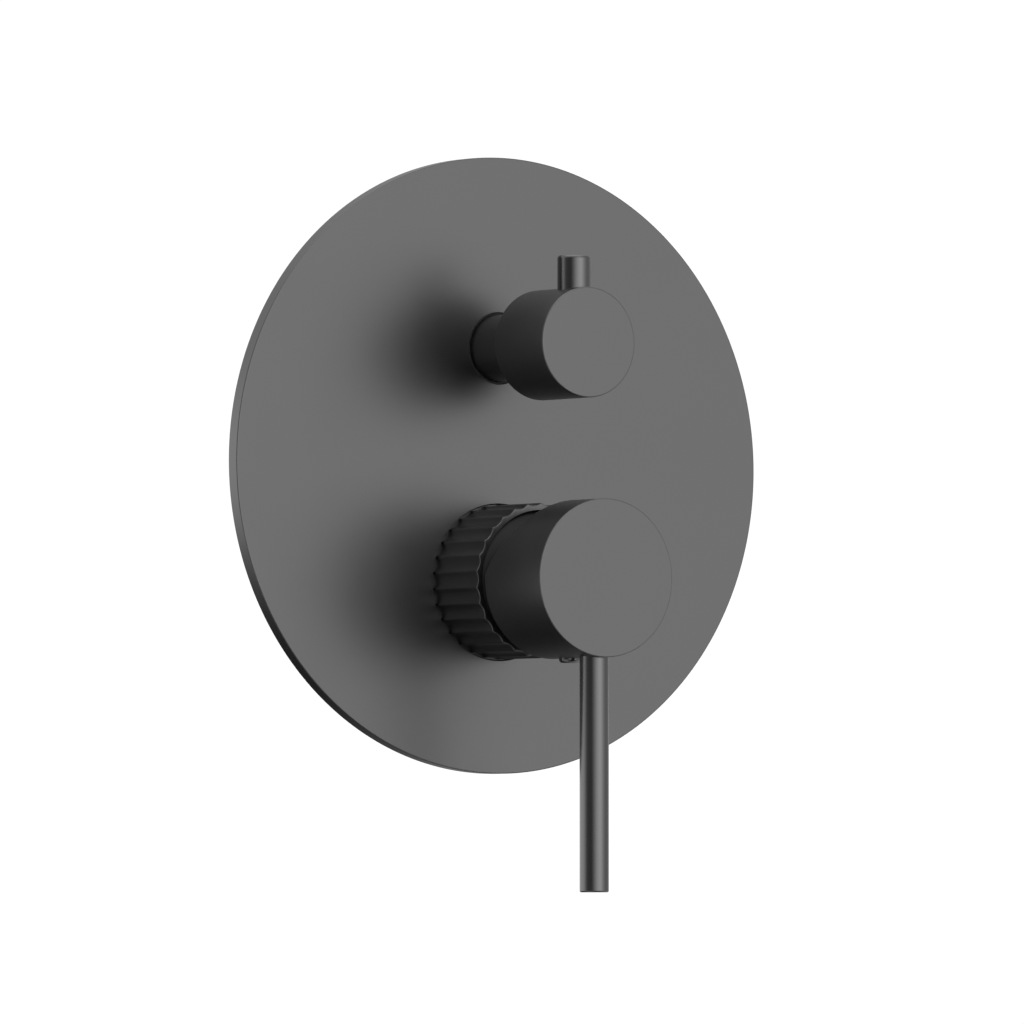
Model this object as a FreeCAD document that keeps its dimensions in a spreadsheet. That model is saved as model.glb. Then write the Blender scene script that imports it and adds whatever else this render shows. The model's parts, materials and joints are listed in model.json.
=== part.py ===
# Concealed shower mixer: a round wall plate with a lever mixer below and a diverter knob above,
# carried by a brass valve body that sits inside the wall.
#
# The origin is the centre of the plate's back face, which lies on the finished wall.
# +Z is up, the front of the mixer faces -Y and the valve body lies on the +Y side.
# "Front" in a name or an argument is a distance out of the wall, along -Y;
# "depth" is a distance into the wall, along +Y.
import FreeCAD, Part
import math
import os
from types import SimpleNamespace

import Sketcher

os.makedirs("parts", exist_ok=True)

# A union is a hexagon, so that a spanner fits it.
UNION_SIDES = 6

# Driving dimensions, in millimetres unless the name says otherwise.
SIZES = {
    # Wall plate
    "plate_diameter": 180.0,
    "plate_thickness": 4.5,
    "plate_edge_bevel": 0.5,
    "mixer_drop": 34.1,
    "diverter_rise": 34.2,
    "gasket_edge_margin": 7.0,
    "gasket_width": 7.0,
    "gasket_depth": 1.6,
    # Fluted sleeve of the mixer
    "sleeve_radius": 22.6,
    "sleeve_wall": 1.6,
    "sleeve_front": 27.2,
    "sleeve_lip_width": 0.6,
    "sleeve_lip_depth": 1.0,
    "sleeve_hole_gap": 0.3,
    "flute_count": 30,
    "flute_depth": 0.75,
    "flute_cutter_radius": 4.2,
    "flute_start": 2.6,
    "ring_section_radius": 0.65,
    "ring_front": 1.35,
    # Handle cap and its lever
    "pivot_front": 21.0,
    "cap_radius": 22.9,
    "cap_front": 61.3,
    "cap_gap": 4.9,
    "cap_edge_bevel": 0.3,
    "cap_wall": 2.6,
    "cap_hollow_depth": 5.4,
    "cap_hub_radius": 9.5,
    "cap_hub_recess": 1.9,
    "relief_base": 1.5,
    "relief_depth": 13.9,
    "stem_side": 8.0,
    "stem_length": 28.4,
    "stem_fit": 0.1,
    "lever_radius": 4.225,
    "lever_fit": 0.03,
    "lever_setback": 6.4,
    "lever_reach": 90.5,
    "lever_bevel": 0.4,
    "lever_seat": 17.5,
    "stud_radius": 2.5,
    "stud_length": 8.0,
    "button_setback": 19.3,
    "button_radius": 3.1,
    "button_proud": 1.3,
    "button_length": 5.0,
    "button_round": 0.9,
    "screw_length": 11.0,
    "screw_key_radius": 1.25,
    "screw_key_depth": 2.5,
    # Mixing cartridge and its cover
    "cartridge_radius": 17.5,
    "cartridge_wall": 1.5,
    "cartridge_floor_depth": 8.0,
    "base_thickness": 6.0,
    "disc_thickness": 3.0,
    "fixed_disc_radius": 15.0,
    "moving_disc_radius": 11.5,
    "moving_disc_rise": 2.43,
    "mixing_pocket_radius": 6.0,
    "mixing_pocket_rise": 6.0,
    "mixing_pocket_depth": 1.8,
    "port_radius": 3.4,
    "disc_port_radius": 2.8,
    "side_port_offset": 7.5,
    "mixed_port_rise": 9.5,
    "seal_width": 1.2,
    "seal_thickness": 1.2,
    "carrier_half_width": 9.0,
    "carrier_half_height": 8.5,
    "carrier_length": 8.0,
    "ball_radius": 3.2,
    "ball_clearance": 0.3,
    "tail_length": 11.5,
    "tail_neck_radius": 2.2,
    "stem_tail": 7.5,
    "guide_flange_radius": 15.95,
    "guide_flange_thickness": 3.0,
    "guide_neck_radius": 11.7,
    "guide_neck_front": 25.0,
    "guide_slot_up": 7.2,
    "guide_slot_down": 9.6,
    "rail_thickness": 2.4,
    "rail_half_height": 9.5,
    "running_gap": 0.05,
    "air_gap": 0.3,
    "pin_radius": 1.5,
    "pin_length": 22.0,
    "housing_collar_radius": 14.0,
    "housing_collar_front": 21.0,
    "nut_radius": 18.4,
    "nut_front": 23.0,
    "nut_slot_width": 3.0,
    "nut_slot_depth": 1.6,
    "nut_slot_count": 6,
    "neck_radius": 19.9,
    "cover_radius": 20.7,
    "cover_skirt_back": 15.0,
    "cover_shoulder": 25.6,
    "cover_dome_radius": 41.7,
    "cover_hole_radius": 10.6,
    "cover_hole_front": 29.9,
    "cover_thickness": 1.2,
    # Valve body in the wall
    "seat_depth": 8.0,
    "chamber_radius": 24.0,
    "body_back_depth": 50.0,
    "bridge_half_width": 10.0,
    "bridge_front_depth": 24.0,
    "inlet_depth": 26.0,
    "inlet_boss_end": 30.0,
    "outlet_boss_reach": 24.0,
    "boss_radius": 14.0,
    "inlet_bore_radius": 6.5,
    "inlet_bore_start": 5.5,
    "channel_radius": 4.0,
    "channel_gap": 6.0,
    # Pipe unions, washers and check valves
    "union_spigot_radius": 8.9,
    "union_spigot_length": 10.0,
    "union_flat_gap": 0.15,
    "union_chamfer": 1.25,
    "union_length": 17.0,
    "union_thread_radius": 9.3,
    "union_thread_length": 14.0,
    "washer_thickness": 1.5,
    "check_valve_length": 12.0,
    "check_valve_radius": 6.45,
    "check_valve_bore": 4.4,
    # Wall bracket
    "bracket_half_width": 34.0,
    "bracket_half_height": 62.0,
    "bracket_thickness": 2.0,
    "bracket_corner_radius": 8.0,
    "bracket_hole_radius": 2.75,
    "bracket_hole_spacing_x": 52.0,
    "bracket_hole_spacing_z": 108.0,
    "bracket_screw_radius": 2.4,
    "bracket_screw_length": 8.0,
    "bracket_screw_head_radius": 4.2,
    "bracket_screw_head_height": 2.5,
    "mixer_screw_offset": 14.0,
    "diverter_screw_offset": 8.0,
    # Diverter
    "knob_radius": 16.0,
    "knob_back": 26.9,
    "knob_front": 52.1,
    "knob_edge_bevel": 0.3,
    "knob_socket_front": 40.0,
    "knob_pin_radius": 4.85,
    "knob_pin_setback": 7.7,
    "knob_pin_top": 25.3,
    "knob_pin_seat": 14.5,
    "knob_pin_round": 0.8,
    "knob_stud_length": 5.5,
    "knob_screw_front": 34.0,
    "knob_screw_length": 8.0,
    "knob_screw_radius": 2.0,
    "collar_radius": 9.8,
    "collar_wall": 1.6,
    "collar_hole_gap": 0.7,
    "collar_ring_back": 1.0,
    "collar_ring_width": 2.4,
    "headwork_radius": 10.0,
    "headwork_depth": 28.0,
    "headwork_front": 20.0,
    "headwork_cavity_radius": 8.3,
    "diverter_block_radius": 15.0,
    "diverter_face_depth": 10.0,
    "diverter_disc_thickness": 2.7,
    "diverter_disc_radius": 8.2,
    "diverter_seal_thickness": 0.8,
    "diverter_port_radius": 2.2,
    "diverter_port_offset": 5.4,
    "spindle_radius": 3.9,
    "spindle_flange_radius": 7.9,
    "spindle_flange_thickness": 3.0,
    "spindle_square": 5.6,
    "spindle_front": 39.5,
    "spindle_shoulder_front": 22.0,
    "gland_radius": 6.0,
    "gland_length": 2.0,
}

doc = FreeCAD.newDocument("concealed_shower_mixer")
sheet = doc.addObject("Spreadsheet::Sheet", "Sizes")


class Size:
    """A length: its value in millimetres and the sheet expression that gives it."""

    def __init__(self, value, text):
        self.value = value
        self.text = text

    def __add__(self, other):
        other = as_size(other)
        return Size(self.value + other.value, f"({self.text} + {other.text})")

    def __sub__(self, other):
        other = as_size(other)
        return Size(self.value - other.value, f"({self.text} - {other.text})")

    def __mul__(self, other):
        other = as_size(other)
        return Size(self.value * other.value, f"({self.text} * {other.text})")

    def __truediv__(self, other):
        other = as_size(other)
        return Size(self.value / other.value, f"({self.text} / {other.text})")

    def __neg__(self):
        return Size(-self.value, f"(0 - {self.text})")

    __radd__ = __add__
    __rmul__ = __mul__


def as_size(length):
    """A plain number as a Size; a Size as it is."""
    if isinstance(length, Size):
        return length
    return Size(float(length), repr(float(length)))


def fill_sheet():
    """One row of the sheet for each driving dimension, with its name as the cell's alias."""
    for row, (name, value) in enumerate(SIZES.items(), start=1):
        sheet.set(f"A{row}", name)
        sheet.set(f"B{row}", str(value))
        sheet.setAlias(f"B{row}", name)


fill_sheet()
doc.recompute()
d = SimpleNamespace(**{name: Size(float(value), f"Sizes.{name}") for name, value in SIZES.items()})

pieces = []


def vector(x, y, z=0.0):
    return FreeCAD.Vector(x, y, z)


def bind(obj, path, length):
    """Tie one property of an object to the sheet."""
    obj.setExpression(path, as_size(length).text)


def place(obj, x=0, front=0, z=0):
    """Put an object at a point given across, out of the wall and up."""
    for path, length in (("x", x), ("y", -as_size(front)), ("z", z)):
        bind(obj, f"Placement.Base.{path}", length)


def new_body(label, x=0, front=0, z=0):
    """An empty body that becomes one piece of the mixer."""
    body = doc.addObject("PartDesign::Body", label)
    body.Label = label
    place(body, x, front, z)
    pieces.append(body)
    return body


def sketch_on(body, role, offset=0):
    """A sketch on one of a body's own origin planes, moved along that plane's normal."""
    plane = next(item for item in body.Origin.OriginFeatures if item.Role == role)
    sketch = body.newObject("Sketcher::SketchObject", f"{body.Label}_sketch")
    sketch.AttachmentSupport = (plane, [""])
    sketch.MapMode = "FlatFace"
    bind(sketch, "AttachmentOffset.Base.z", offset)
    return sketch


def bulge_point(start, end, radius, side):
    """The middle of a short arc between two points; side 1 bulges to the left, -1 to the right."""
    chord = end - start
    half = chord.Length / 2
    sagitta = radius - math.sqrt(radius * radius - half * half)
    left = vector(-chord.y, chord.x) / chord.Length
    return (start + end) / 2 + left * (side * sagitta)


def outline(sketch, points, arcs=None):
    """A closed outline; every corner is held by its two distances, and every arc by its radius."""
    arcs = arcs or {}
    corners = [(as_size(x), as_size(y)) for x, y in points]
    spots = [vector(x.value, y.value) for x, y in corners]
    ends = []
    for index, start in enumerate(spots):
        end = spots[(index + 1) % len(spots)]
        if index in arcs:
            radius, side = arcs[index]
            middle = bulge_point(start, end, as_size(radius).value, side)
            sketch.addGeometry(Part.Arc(start, middle, end))
            to_first, to_last = (sketch.getPoint(index, place).distanceToPoint(start) for place in (1, 2))
            ends.append((2, 1) if to_first > to_last else (1, 2))
        else:
            sketch.addGeometry(Part.LineSegment(start, end))
            ends.append((1, 2))
    for index in range(len(spots)):
        after = (index + 1) % len(spots)
        joint = Sketcher.Constraint("Coincident", index, ends[index][1], after, ends[after][0])
        sketch.addConstraint(joint)
    for index, (x, y) in enumerate(corners):
        hold_point(sketch, index, ends[index][0], x, y)
    for index, (radius, side) in arcs.items():
        hold_radius(sketch, index, radius)


def hold_point(sketch, geometry, position, x, y):
    """Tie one point of a sketch to its two distances from the sketch's origin."""
    for kind, axis, length in (("DistanceX", -2, as_size(x)), ("DistanceY", -1, as_size(y))):
        if length.text == "0.0":
            sketch.addConstraint(Sketcher.Constraint("PointOnObject", geometry, position, axis))
        else:
            distance = Sketcher.Constraint(kind, -1, 1, geometry, position, length.value)
            number = sketch.addConstraint(distance)
            bind(sketch, f"Constraints[{number}]", length)


def hold_radius(sketch, geometry, radius):
    """Tie the radius of a circle or an arc to the sheet."""
    number = sketch.addConstraint(Sketcher.Constraint("Radius", geometry, as_size(radius).value))
    bind(sketch, f"Constraints[{number}]", radius)


def circles(sketch, rounds):
    """Circles given as across, up and radius."""
    for x, y, radius in rounds:
        middle = vector(as_size(x).value, as_size(y).value)
        index = sketch.addGeometry(Part.Circle(middle, vector(0, 0, 1), as_size(radius).value))
        hold_point(sketch, index, 3, x, y)
        hold_radius(sketch, index, radius)


def rectangle(sketch, low_x, low_y, high_x, high_y):
    """A closed rectangle between two corners."""
    outline(sketch, [(low_x, low_y), (high_x, low_y), (high_x, high_y), (low_x, high_y)])


def turned(label, points, arcs=None, x=0, z=0):
    """A piece turned about the Y direction, from corners given as radius and distance out of the wall."""
    body = new_body(label, x, 0, z)
    sketch = sketch_on(body, "XY_Plane")
    outline(sketch, [(radius, -as_size(front)) for radius, front in points], arcs)
    revolve(body, sketch)
    return body


def turned_upright(label, points, arcs=None, front=0, z=0):
    """A piece turned about the Z direction, from corners given as radius and height."""
    body = new_body(label, 0, front, z)
    sketch = sketch_on(body, "XZ_Plane")
    outline(sketch, points, arcs)
    revolve(body, sketch)
    return body


def revolve(body, sketch):
    """A full turn of a sketch about its own upright axis."""
    turning = body.newObject("PartDesign::Revolution", f"{body.Label}_turning")
    turning.Profile = sketch
    turning.ReferenceAxis = (sketch, ["V_Axis"])
    turning.Angle = 360


def pocket(body, sketch, length=None, reverse=False):
    """Cut a sketch out of a body, against the sketch's normal, right through if no length is given."""
    cutting = body.newObject("PartDesign::Pocket", f"{body.Label}_pocket")
    cutting.Profile = sketch
    if length is None:
        cutting.Type = "ThroughAll"
        cutting.SideType = "Symmetric"
    else:
        bind(cutting, "Length", length)
        cutting.Reversed = reverse
    return cutting


def bored(body, rounds, start_front, length=None):
    """Round holes along Y that start at a distance out of the wall and run towards it."""
    sketch = sketch_on(body, "XZ_Plane", start_front)
    circles(sketch, rounds)
    return pocket(body, sketch, length)


def drilled_upright(body, radius, front, blind_z, length, upwards=False):
    """A round hole along Z from its blind end out through the side of a body."""
    sketch = sketch_on(body, "XY_Plane", blind_z)
    circles(sketch, [(0, -as_size(front), radius)])
    return pocket(body, sketch, length, reverse=upwards)


DIRECTIONS = {
    "front": vector(0, -1, 0),
    "back": vector(0, 1, 0),
    "right": vector(1, 0, 0),
    "left": vector(-1, 0, 0),
    "up": vector(0, 0, 1),
}


def turn_to(obj, direction):
    """Turn an object so that its own Z points in a named direction."""
    placement = obj.Placement
    placement.Rotation = FreeCAD.Rotation(vector(0, 0, 1), DIRECTIONS[direction])
    obj.Placement = placement


def cylinder(name, radius, length, direction="up", x=0, front=0, z=0):
    """A cylinder that starts at a point and runs in a named direction."""
    obj = doc.addObject("Part::Cylinder", name)
    bind(obj, "Radius", radius)
    bind(obj, "Height", length)
    turn_to(obj, direction)
    place(obj, x, front, z)
    return obj


def box(name, x, front, z):
    """A box between two limits on each axis, with the Y limits given out of the wall."""
    obj = doc.addObject("Part::Box", name)
    low_x, high_x = (as_size(limit) for limit in x)
    back, face = (as_size(limit) for limit in front)
    low_z, high_z = (as_size(limit) for limit in z)
    bind(obj, "Length", high_x - low_x)
    bind(obj, "Width", face - back)
    bind(obj, "Height", high_z - low_z)
    place(obj, low_x, face, low_z)
    return obj


def join(name, shapes):
    """Several shapes made into one."""
    obj = doc.addObject("Part::MultiFuse", name)
    obj.Shapes = shapes
    obj.Refine = True
    return obj


def cut(name, base, tools):
    """A shape with several others taken away."""
    obj = doc.addObject("Part::Cut", name)
    obj.Base = base
    obj.Tool = tools[0] if len(tools) == 1 else join(f"{name}_cuts", tools)
    obj.Refine = True
    return obj


def keep(obj, label):
    """Take a finished shape as one piece of the mixer."""
    obj.Label = label
    pieces.append(obj)
    return obj


# Places worked out from the driving dimensions
mixer_z = -d.mixer_drop
plate_radius = d.plate_diameter / 2
sleeve_bore = d.sleeve_radius - d.sleeve_wall
plate_hole_radius = d.sleeve_radius + d.sleeve_hole_gap
collar_hole_radius = d.collar_radius + d.collar_hole_gap
cap_back = d.sleeve_front + d.cap_gap
lever_front = d.cap_front - d.lever_setback
button_front = d.cap_front - d.button_setback
hub_back = cap_back + d.cap_hub_recess
cartridge_floor = -d.cartridge_floor_depth
fixed_disc_back = cartridge_floor + d.base_thickness
moving_disc_back = fixed_disc_back + d.disc_thickness
carrier_back = moving_disc_back + d.disc_thickness
carrier_front = carrier_back + d.carrier_length
ball_front = d.pivot_front - d.tail_length
flange_back = carrier_front + d.air_gap
flange_front = flange_back + d.guide_flange_thickness
housing_bore = d.guide_flange_radius + d.running_gap
housing_inside_front = flange_front + d.air_gap
housing_shoulder = housing_inside_front + d.cartridge_wall
collar_bore = d.guide_neck_radius + d.air_gap
seat_front = -d.seat_depth
body_back = -d.body_back_depth
inlet_front = -d.inlet_depth
outlet_depth = d.body_back_depth - d.boss_radius
outlet_front = -outlet_depth
union_flat_radius = d.boss_radius - d.union_flat_gap
union_corner_radius = union_flat_radius / math.cos(math.pi / UNION_SIDES)


def make_wall_plate():
    """Round plate with a bevelled rim, a gasket groove in its back and a hole for each control."""
    outer = plate_radius - d.gasket_edge_margin
    inner = outer - d.gasket_width
    plate = turned("wall_plate", [
        (0, 0),
        (0, d.plate_thickness),
        (plate_radius - d.plate_edge_bevel, d.plate_thickness),
        (plate_radius, d.plate_thickness - d.plate_edge_bevel),
        (plate_radius, 0),
        (outer, 0),
        (outer, d.gasket_depth),
        (inner, d.gasket_depth),
        (inner, 0),
    ])
    holes = [(0, mixer_z, plate_hole_radius), (0, d.diverter_rise, collar_hole_radius)]
    bored(plate, holes, 0)
    turned("plate_gasket", [(inner, 0), (inner, d.gasket_depth), (outer, d.gasket_depth), (outer, 0)])


def make_sleeve():
    """Thin sleeve with scalloped flutes and an inturned lip, which slides over the neck of the valve body."""
    groove_back = d.ring_front - d.ring_section_radius
    groove_front = d.ring_front + d.ring_section_radius
    groove_radius = plate_hole_radius - 2 * d.ring_section_radius
    sleeve = turned("fluted_sleeve", [
        (sleeve_bore, seat_front),
        (sleeve_bore, d.sleeve_front - d.sleeve_lip_depth),
        (sleeve_bore - d.sleeve_lip_width, d.sleeve_front - d.sleeve_lip_depth),
        (sleeve_bore - d.sleeve_lip_width, d.sleeve_front),
        (d.sleeve_radius, d.sleeve_front),
        (d.sleeve_radius, groove_front),
        (groove_radius, groove_front),
        (groove_radius, groove_back),
        (d.sleeve_radius, groove_back),
        (d.sleeve_radius, seat_front),
    ], z=mixer_z)
    flute_centre = d.sleeve_radius - d.flute_depth + d.flute_cutter_radius
    flute_length = d.sleeve_front - d.flute_start
    flute = bored(sleeve, [(flute_centre, 0, d.flute_cutter_radius)], d.sleeve_front, flute_length)
    pattern = sleeve.newObject("PartDesign::PolarPattern", "flutes")
    pattern.Originals = [flute]
    pattern.Axis = (flute.Profile[0], ["N_Axis"])
    pattern.Angle = 360
    bind(pattern, "Occurrences", d.flute_count)
    sleeve.Tip = pattern
    ring_radius = plate_hole_radius - d.ring_section_radius
    round_ring("sleeve_o_ring", ring_radius, d.ring_front, d.ring_section_radius, mixer_z)


def round_ring(label, radius, front, section, z):
    """A rubber ring of round section about a control's axis."""
    ring = new_body(label, 0, 0, z)
    sketch = sketch_on(ring, "XY_Plane")
    circles(sketch, [(radius, -as_size(front), section)])
    revolve(ring, sketch)


def make_handle():
    """Handle cap with its relieved back, the hanging lever, the stem, the clamping screw and its button."""
    cavity_radius = d.cap_radius - d.cap_wall
    cavity_front = cap_back + d.cap_hollow_depth
    cap = turned("handle_cap", [
        (0, hub_back),
        (0, d.cap_front),
        (d.cap_radius - d.cap_edge_bevel, d.cap_front),
        (d.cap_radius, d.cap_front - d.cap_edge_bevel),
        (d.cap_radius, cap_back),
        (cavity_radius, cap_back),
        (cavity_radius, cavity_front),
        (d.cap_hub_radius, cavity_front),
        (d.cap_hub_radius, hub_back),
    ], z=mixer_z)
    relieve_back(cap)
    socket_half = d.stem_side / 2 + d.stem_fit
    stem_front = d.pivot_front + d.stem_length
    socket_front = stem_front + d.air_gap
    socket = sketch_on(cap, "XZ_Plane", socket_front)
    rectangle(socket, -socket_half, -socket_half, socket_half, socket_half)
    pocket(cap, socket, socket_front - cap_back)
    stud_blind = d.lever_seat - d.stud_length
    drilled_upright(cap, d.lever_radius + d.lever_fit, lever_front, -d.lever_seat, d.cap_radius)
    drilled_upright(cap, d.stud_radius, lever_front, -(stud_blind - d.air_gap), d.cap_radius)
    button_inner = d.cap_radius + d.button_proud - d.button_length
    drilled_upright(cap, d.button_radius, button_front, -button_inner, d.cap_radius)
    drilled_upright(cap, d.stud_radius, button_front, 0, d.cap_radius)
    turned_upright("pin_lever", [
        (0, -stud_blind),
        (d.stud_radius, -stud_blind),
        (d.stud_radius, -d.lever_seat),
        (d.lever_radius, -d.lever_seat),
        (d.lever_radius, -(d.lever_reach - d.lever_bevel)),
        (d.lever_radius - d.lever_bevel, -d.lever_reach),
        (0, -d.lever_reach),
    ], front=lever_front, z=mixer_z)
    button_end = d.cap_radius + d.button_proud
    turned_upright("index_button", [
        (0, -button_inner),
        (d.button_radius, -button_inner),
        (d.button_radius, -(button_end - d.button_round)),
        (d.button_radius - d.button_round, -button_end),
        (0, -button_end),
    ], {2: (d.button_round, -1)}, front=button_front, z=mixer_z)
    set_screw("handle_grub_screw", d.stud_radius, d.stem_side / 2, d.screw_length, button_front, mixer_z)
    make_stem(stem_front)


def relieve_back(cap):
    """Slope the upper back of the cap so that it clears the sleeve when the lever is lifted."""
    beyond = d.cap_radius + d.cap_wall
    slope = d.relief_depth / (d.cap_radius - d.relief_base)
    sketch = sketch_on(cap, "YZ_Plane")
    outline(sketch, [
        (-cap_back, d.relief_base),
        (-(cap_back + slope * (beyond - d.relief_base)), beyond),
        (-(cap_back - d.cap_wall), beyond),
        (-(cap_back - d.cap_wall), d.relief_base),
    ])
    pocket(cap, sketch)


def set_screw(label, radius, start, length, front, z):
    """Headless screw below an axis, with a round key hole in its lower end."""
    turned_upright(label, [
        (0, -start),
        (radius, -start),
        (radius, -(start + length)),
        (d.screw_key_radius, -(start + length)),
        (d.screw_key_radius, -(start + length - d.screw_key_depth)),
        (0, -(start + length - d.screw_key_depth)),
    ], front=front, z=z)


def make_stem(stem_front):
    """Square stem that rocks on the pivot pin, with a ball on its tail that moves the disc carrier."""
    half = d.stem_side / 2
    bar_span = (d.pivot_front - d.stem_tail, stem_front)
    bar = box("stem_bar", (-half, half), bar_span, (mixer_z - half, mixer_z + half))
    tail = cylinder("stem_tail_neck", d.tail_neck_radius, d.tail_length, "front", 0, ball_front, mixer_z)
    ball = doc.addObject("Part::Sphere", "stem_ball")
    bind(ball, "Radius", d.ball_radius)
    place(ball, 0, ball_front, mixer_z)
    hole_radius = d.pin_radius + d.running_gap
    pin_hole = cylinder("stem_pin_hole", hole_radius, d.stem_side, "right", -half, d.pivot_front, mixer_z)
    keep(cut("stem_cut", join("stem_solid", [bar, tail, ball]), [pin_hole]), "lever_stem")


def make_guide():
    """Rotary guide; its slot holds the stem and its rails lead the disc carrier."""
    flange = cylinder("guide_flange", d.guide_flange_radius, d.guide_flange_thickness,
                      "front", 0, flange_back, mixer_z)
    neck_length = d.guide_neck_front - flange_back
    neck = cylinder("guide_neck", d.guide_neck_radius, neck_length, "front", 0, flange_back, mixer_z)
    rail_inside = d.carrier_half_width + d.running_gap
    rail_outside = rail_inside + d.rail_thickness
    rail_height = (mixer_z - d.rail_half_height, mixer_z + d.rail_half_height)
    rail_span = (moving_disc_back + d.disc_thickness + d.air_gap, flange_back)
    right = box("guide_rail_right", (rail_inside, rail_outside), rail_span, rail_height)
    left = box("guide_rail_left", (-rail_outside, -rail_inside), rail_span, rail_height)
    slot_half = d.stem_side / 2 + d.running_gap
    slot = box("guide_slot", (-slot_half, slot_half), (flange_back, d.guide_neck_front),
               (mixer_z - d.guide_slot_down, mixer_z + d.guide_slot_up))
    pin_hole, pin_rod = (
        cylinder(name, d.pin_radius, d.pin_length, "right", -(d.pin_length / 2), d.pivot_front, mixer_z)
        for name in ("guide_pin_hole", "pin_rod")
    )
    solid = join("guide_solid", [flange, neck, right, left])
    keep(cut("guide_cut", solid, [slot, pin_hole]), "rotary_guide")
    keep(pin_rod, "pivot_pin")


def make_discs():
    """Fixed disc, moving disc and the carrier that slides between the rails of the guide."""
    ports = [
        (-d.side_port_offset, 0, d.disc_port_radius),
        (d.side_port_offset, 0, d.disc_port_radius),
        (0, d.mixed_port_rise, d.disc_port_radius),
    ]
    fixed_corners = ring_corners(0, d.fixed_disc_radius, fixed_disc_back, moving_disc_back)
    bored(turned("fixed_disc", fixed_corners, z=mixer_z), ports, 0)
    middle = mixer_z + d.moving_disc_rise
    moving_corners = ring_corners(0, d.moving_disc_radius, moving_disc_back, carrier_back)
    moving = turned("moving_disc", moving_corners, z=middle)
    pocket_places = [(0, d.mixing_pocket_rise - d.moving_disc_rise, d.mixing_pocket_radius)]
    bored(moving, pocket_places, moving_disc_back + d.mixing_pocket_depth, d.mixing_pocket_depth)
    block = box("carrier_block", (-d.carrier_half_width, d.carrier_half_width), (carrier_back, carrier_front),
                (middle - d.carrier_half_height, middle + d.carrier_half_height))
    half = d.ball_radius + d.ball_clearance
    hollow = box("carrier_hollow", (-half, half), (ball_front - half, carrier_front),
                 (mixer_z - half, mixer_z + half))
    keep(cut("carrier_cut", block, [hollow]), "disc_carrier")


def ring_corners(inner, outer, back, front):
    """The four corners of a plain ring or disc."""
    return [(inner, back), (inner, front), (outer, front), (outer, back)]


def make_cartridge():
    """Cartridge shell with its base, port seals and the nut that clamps it in the valve body."""
    bottom = fixed_disc_back
    inner_front = housing_inside_front
    turned("cartridge_housing", [
        (housing_bore, bottom),
        (housing_bore, inner_front),
        (collar_bore, inner_front),
        (collar_bore, d.housing_collar_front),
        (d.housing_collar_radius, d.housing_collar_front),
        (d.housing_collar_radius, housing_shoulder),
        (d.cartridge_radius, housing_shoulder),
        (d.cartridge_radius, bottom),
    ], z=mixer_z)
    base_corners = ring_corners(0, d.cartridge_radius, cartridge_floor, bottom)
    base = turned("cartridge_base", base_corners, z=mixer_z)
    seats = [
        (-d.side_port_offset, 0),
        (d.side_port_offset, 0),
        (0, d.mixed_port_rise),
    ]
    seal_radius = d.port_radius + d.seal_width
    bored(base, [(x, z, d.port_radius) for x, z in seats], 0)
    seal_front = cartridge_floor + d.seal_thickness
    bored(base, [(x, z, seal_radius) for x, z in seats], seal_front, d.seal_thickness)
    seals = []
    for index, (x, z) in enumerate(seats):
        ring, hole = (
            cylinder(f"seal_{name}_{index}", radius, d.seal_thickness, "front", x, cartridge_floor, mixer_z + z)
            for name, radius in (("ring", seal_radius), ("hole", d.port_radius))
        )
        seals.append(cut(f"seal_{index}", ring, [hole]))
    group = doc.addObject("Part::Compound", "seal_group")
    group.Links = seals
    keep(group, "cartridge_base_seals")
    nut_corners = ring_corners(d.housing_collar_radius, d.nut_radius, housing_shoulder, d.nut_front)
    nut = turned("cartridge_nut", nut_corners, z=mixer_z)
    slot = sketch_on(nut, "XZ_Plane", d.nut_front)
    half = d.nut_slot_width / 2
    slot_inner = d.housing_collar_radius - d.nut_slot_width
    rectangle(slot, slot_inner, -half, d.housing_collar_radius + half, half)
    notch = pocket(nut, slot, d.nut_slot_depth)
    pattern = nut.newObject("PartDesign::PolarPattern", "nut_slots")
    pattern.Originals = [notch]
    pattern.Axis = (slot, ["N_Axis"])
    pattern.Angle = 360
    bind(pattern, "Occurrences", d.nut_slot_count)
    nut.Tip = pattern


def make_cover():
    """Domed cover over the cartridge nut, seen through the gap behind the handle cap."""
    inside = d.neck_radius
    hole_inside_front = d.cover_hole_front - d.cover_thickness
    turned("cartridge_cover", [
        (inside, d.cover_skirt_back),
        (inside, d.cover_shoulder - d.cover_thickness),
        (d.cover_hole_radius, hole_inside_front),
        (d.cover_hole_radius, d.cover_hole_front),
        (d.cover_radius, d.cover_shoulder),
        (d.cover_radius, d.cover_skirt_back),
    ], {1: (d.cover_dome_radius, -1), 3: (d.cover_dome_radius, 1)}, z=mixer_z)


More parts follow.
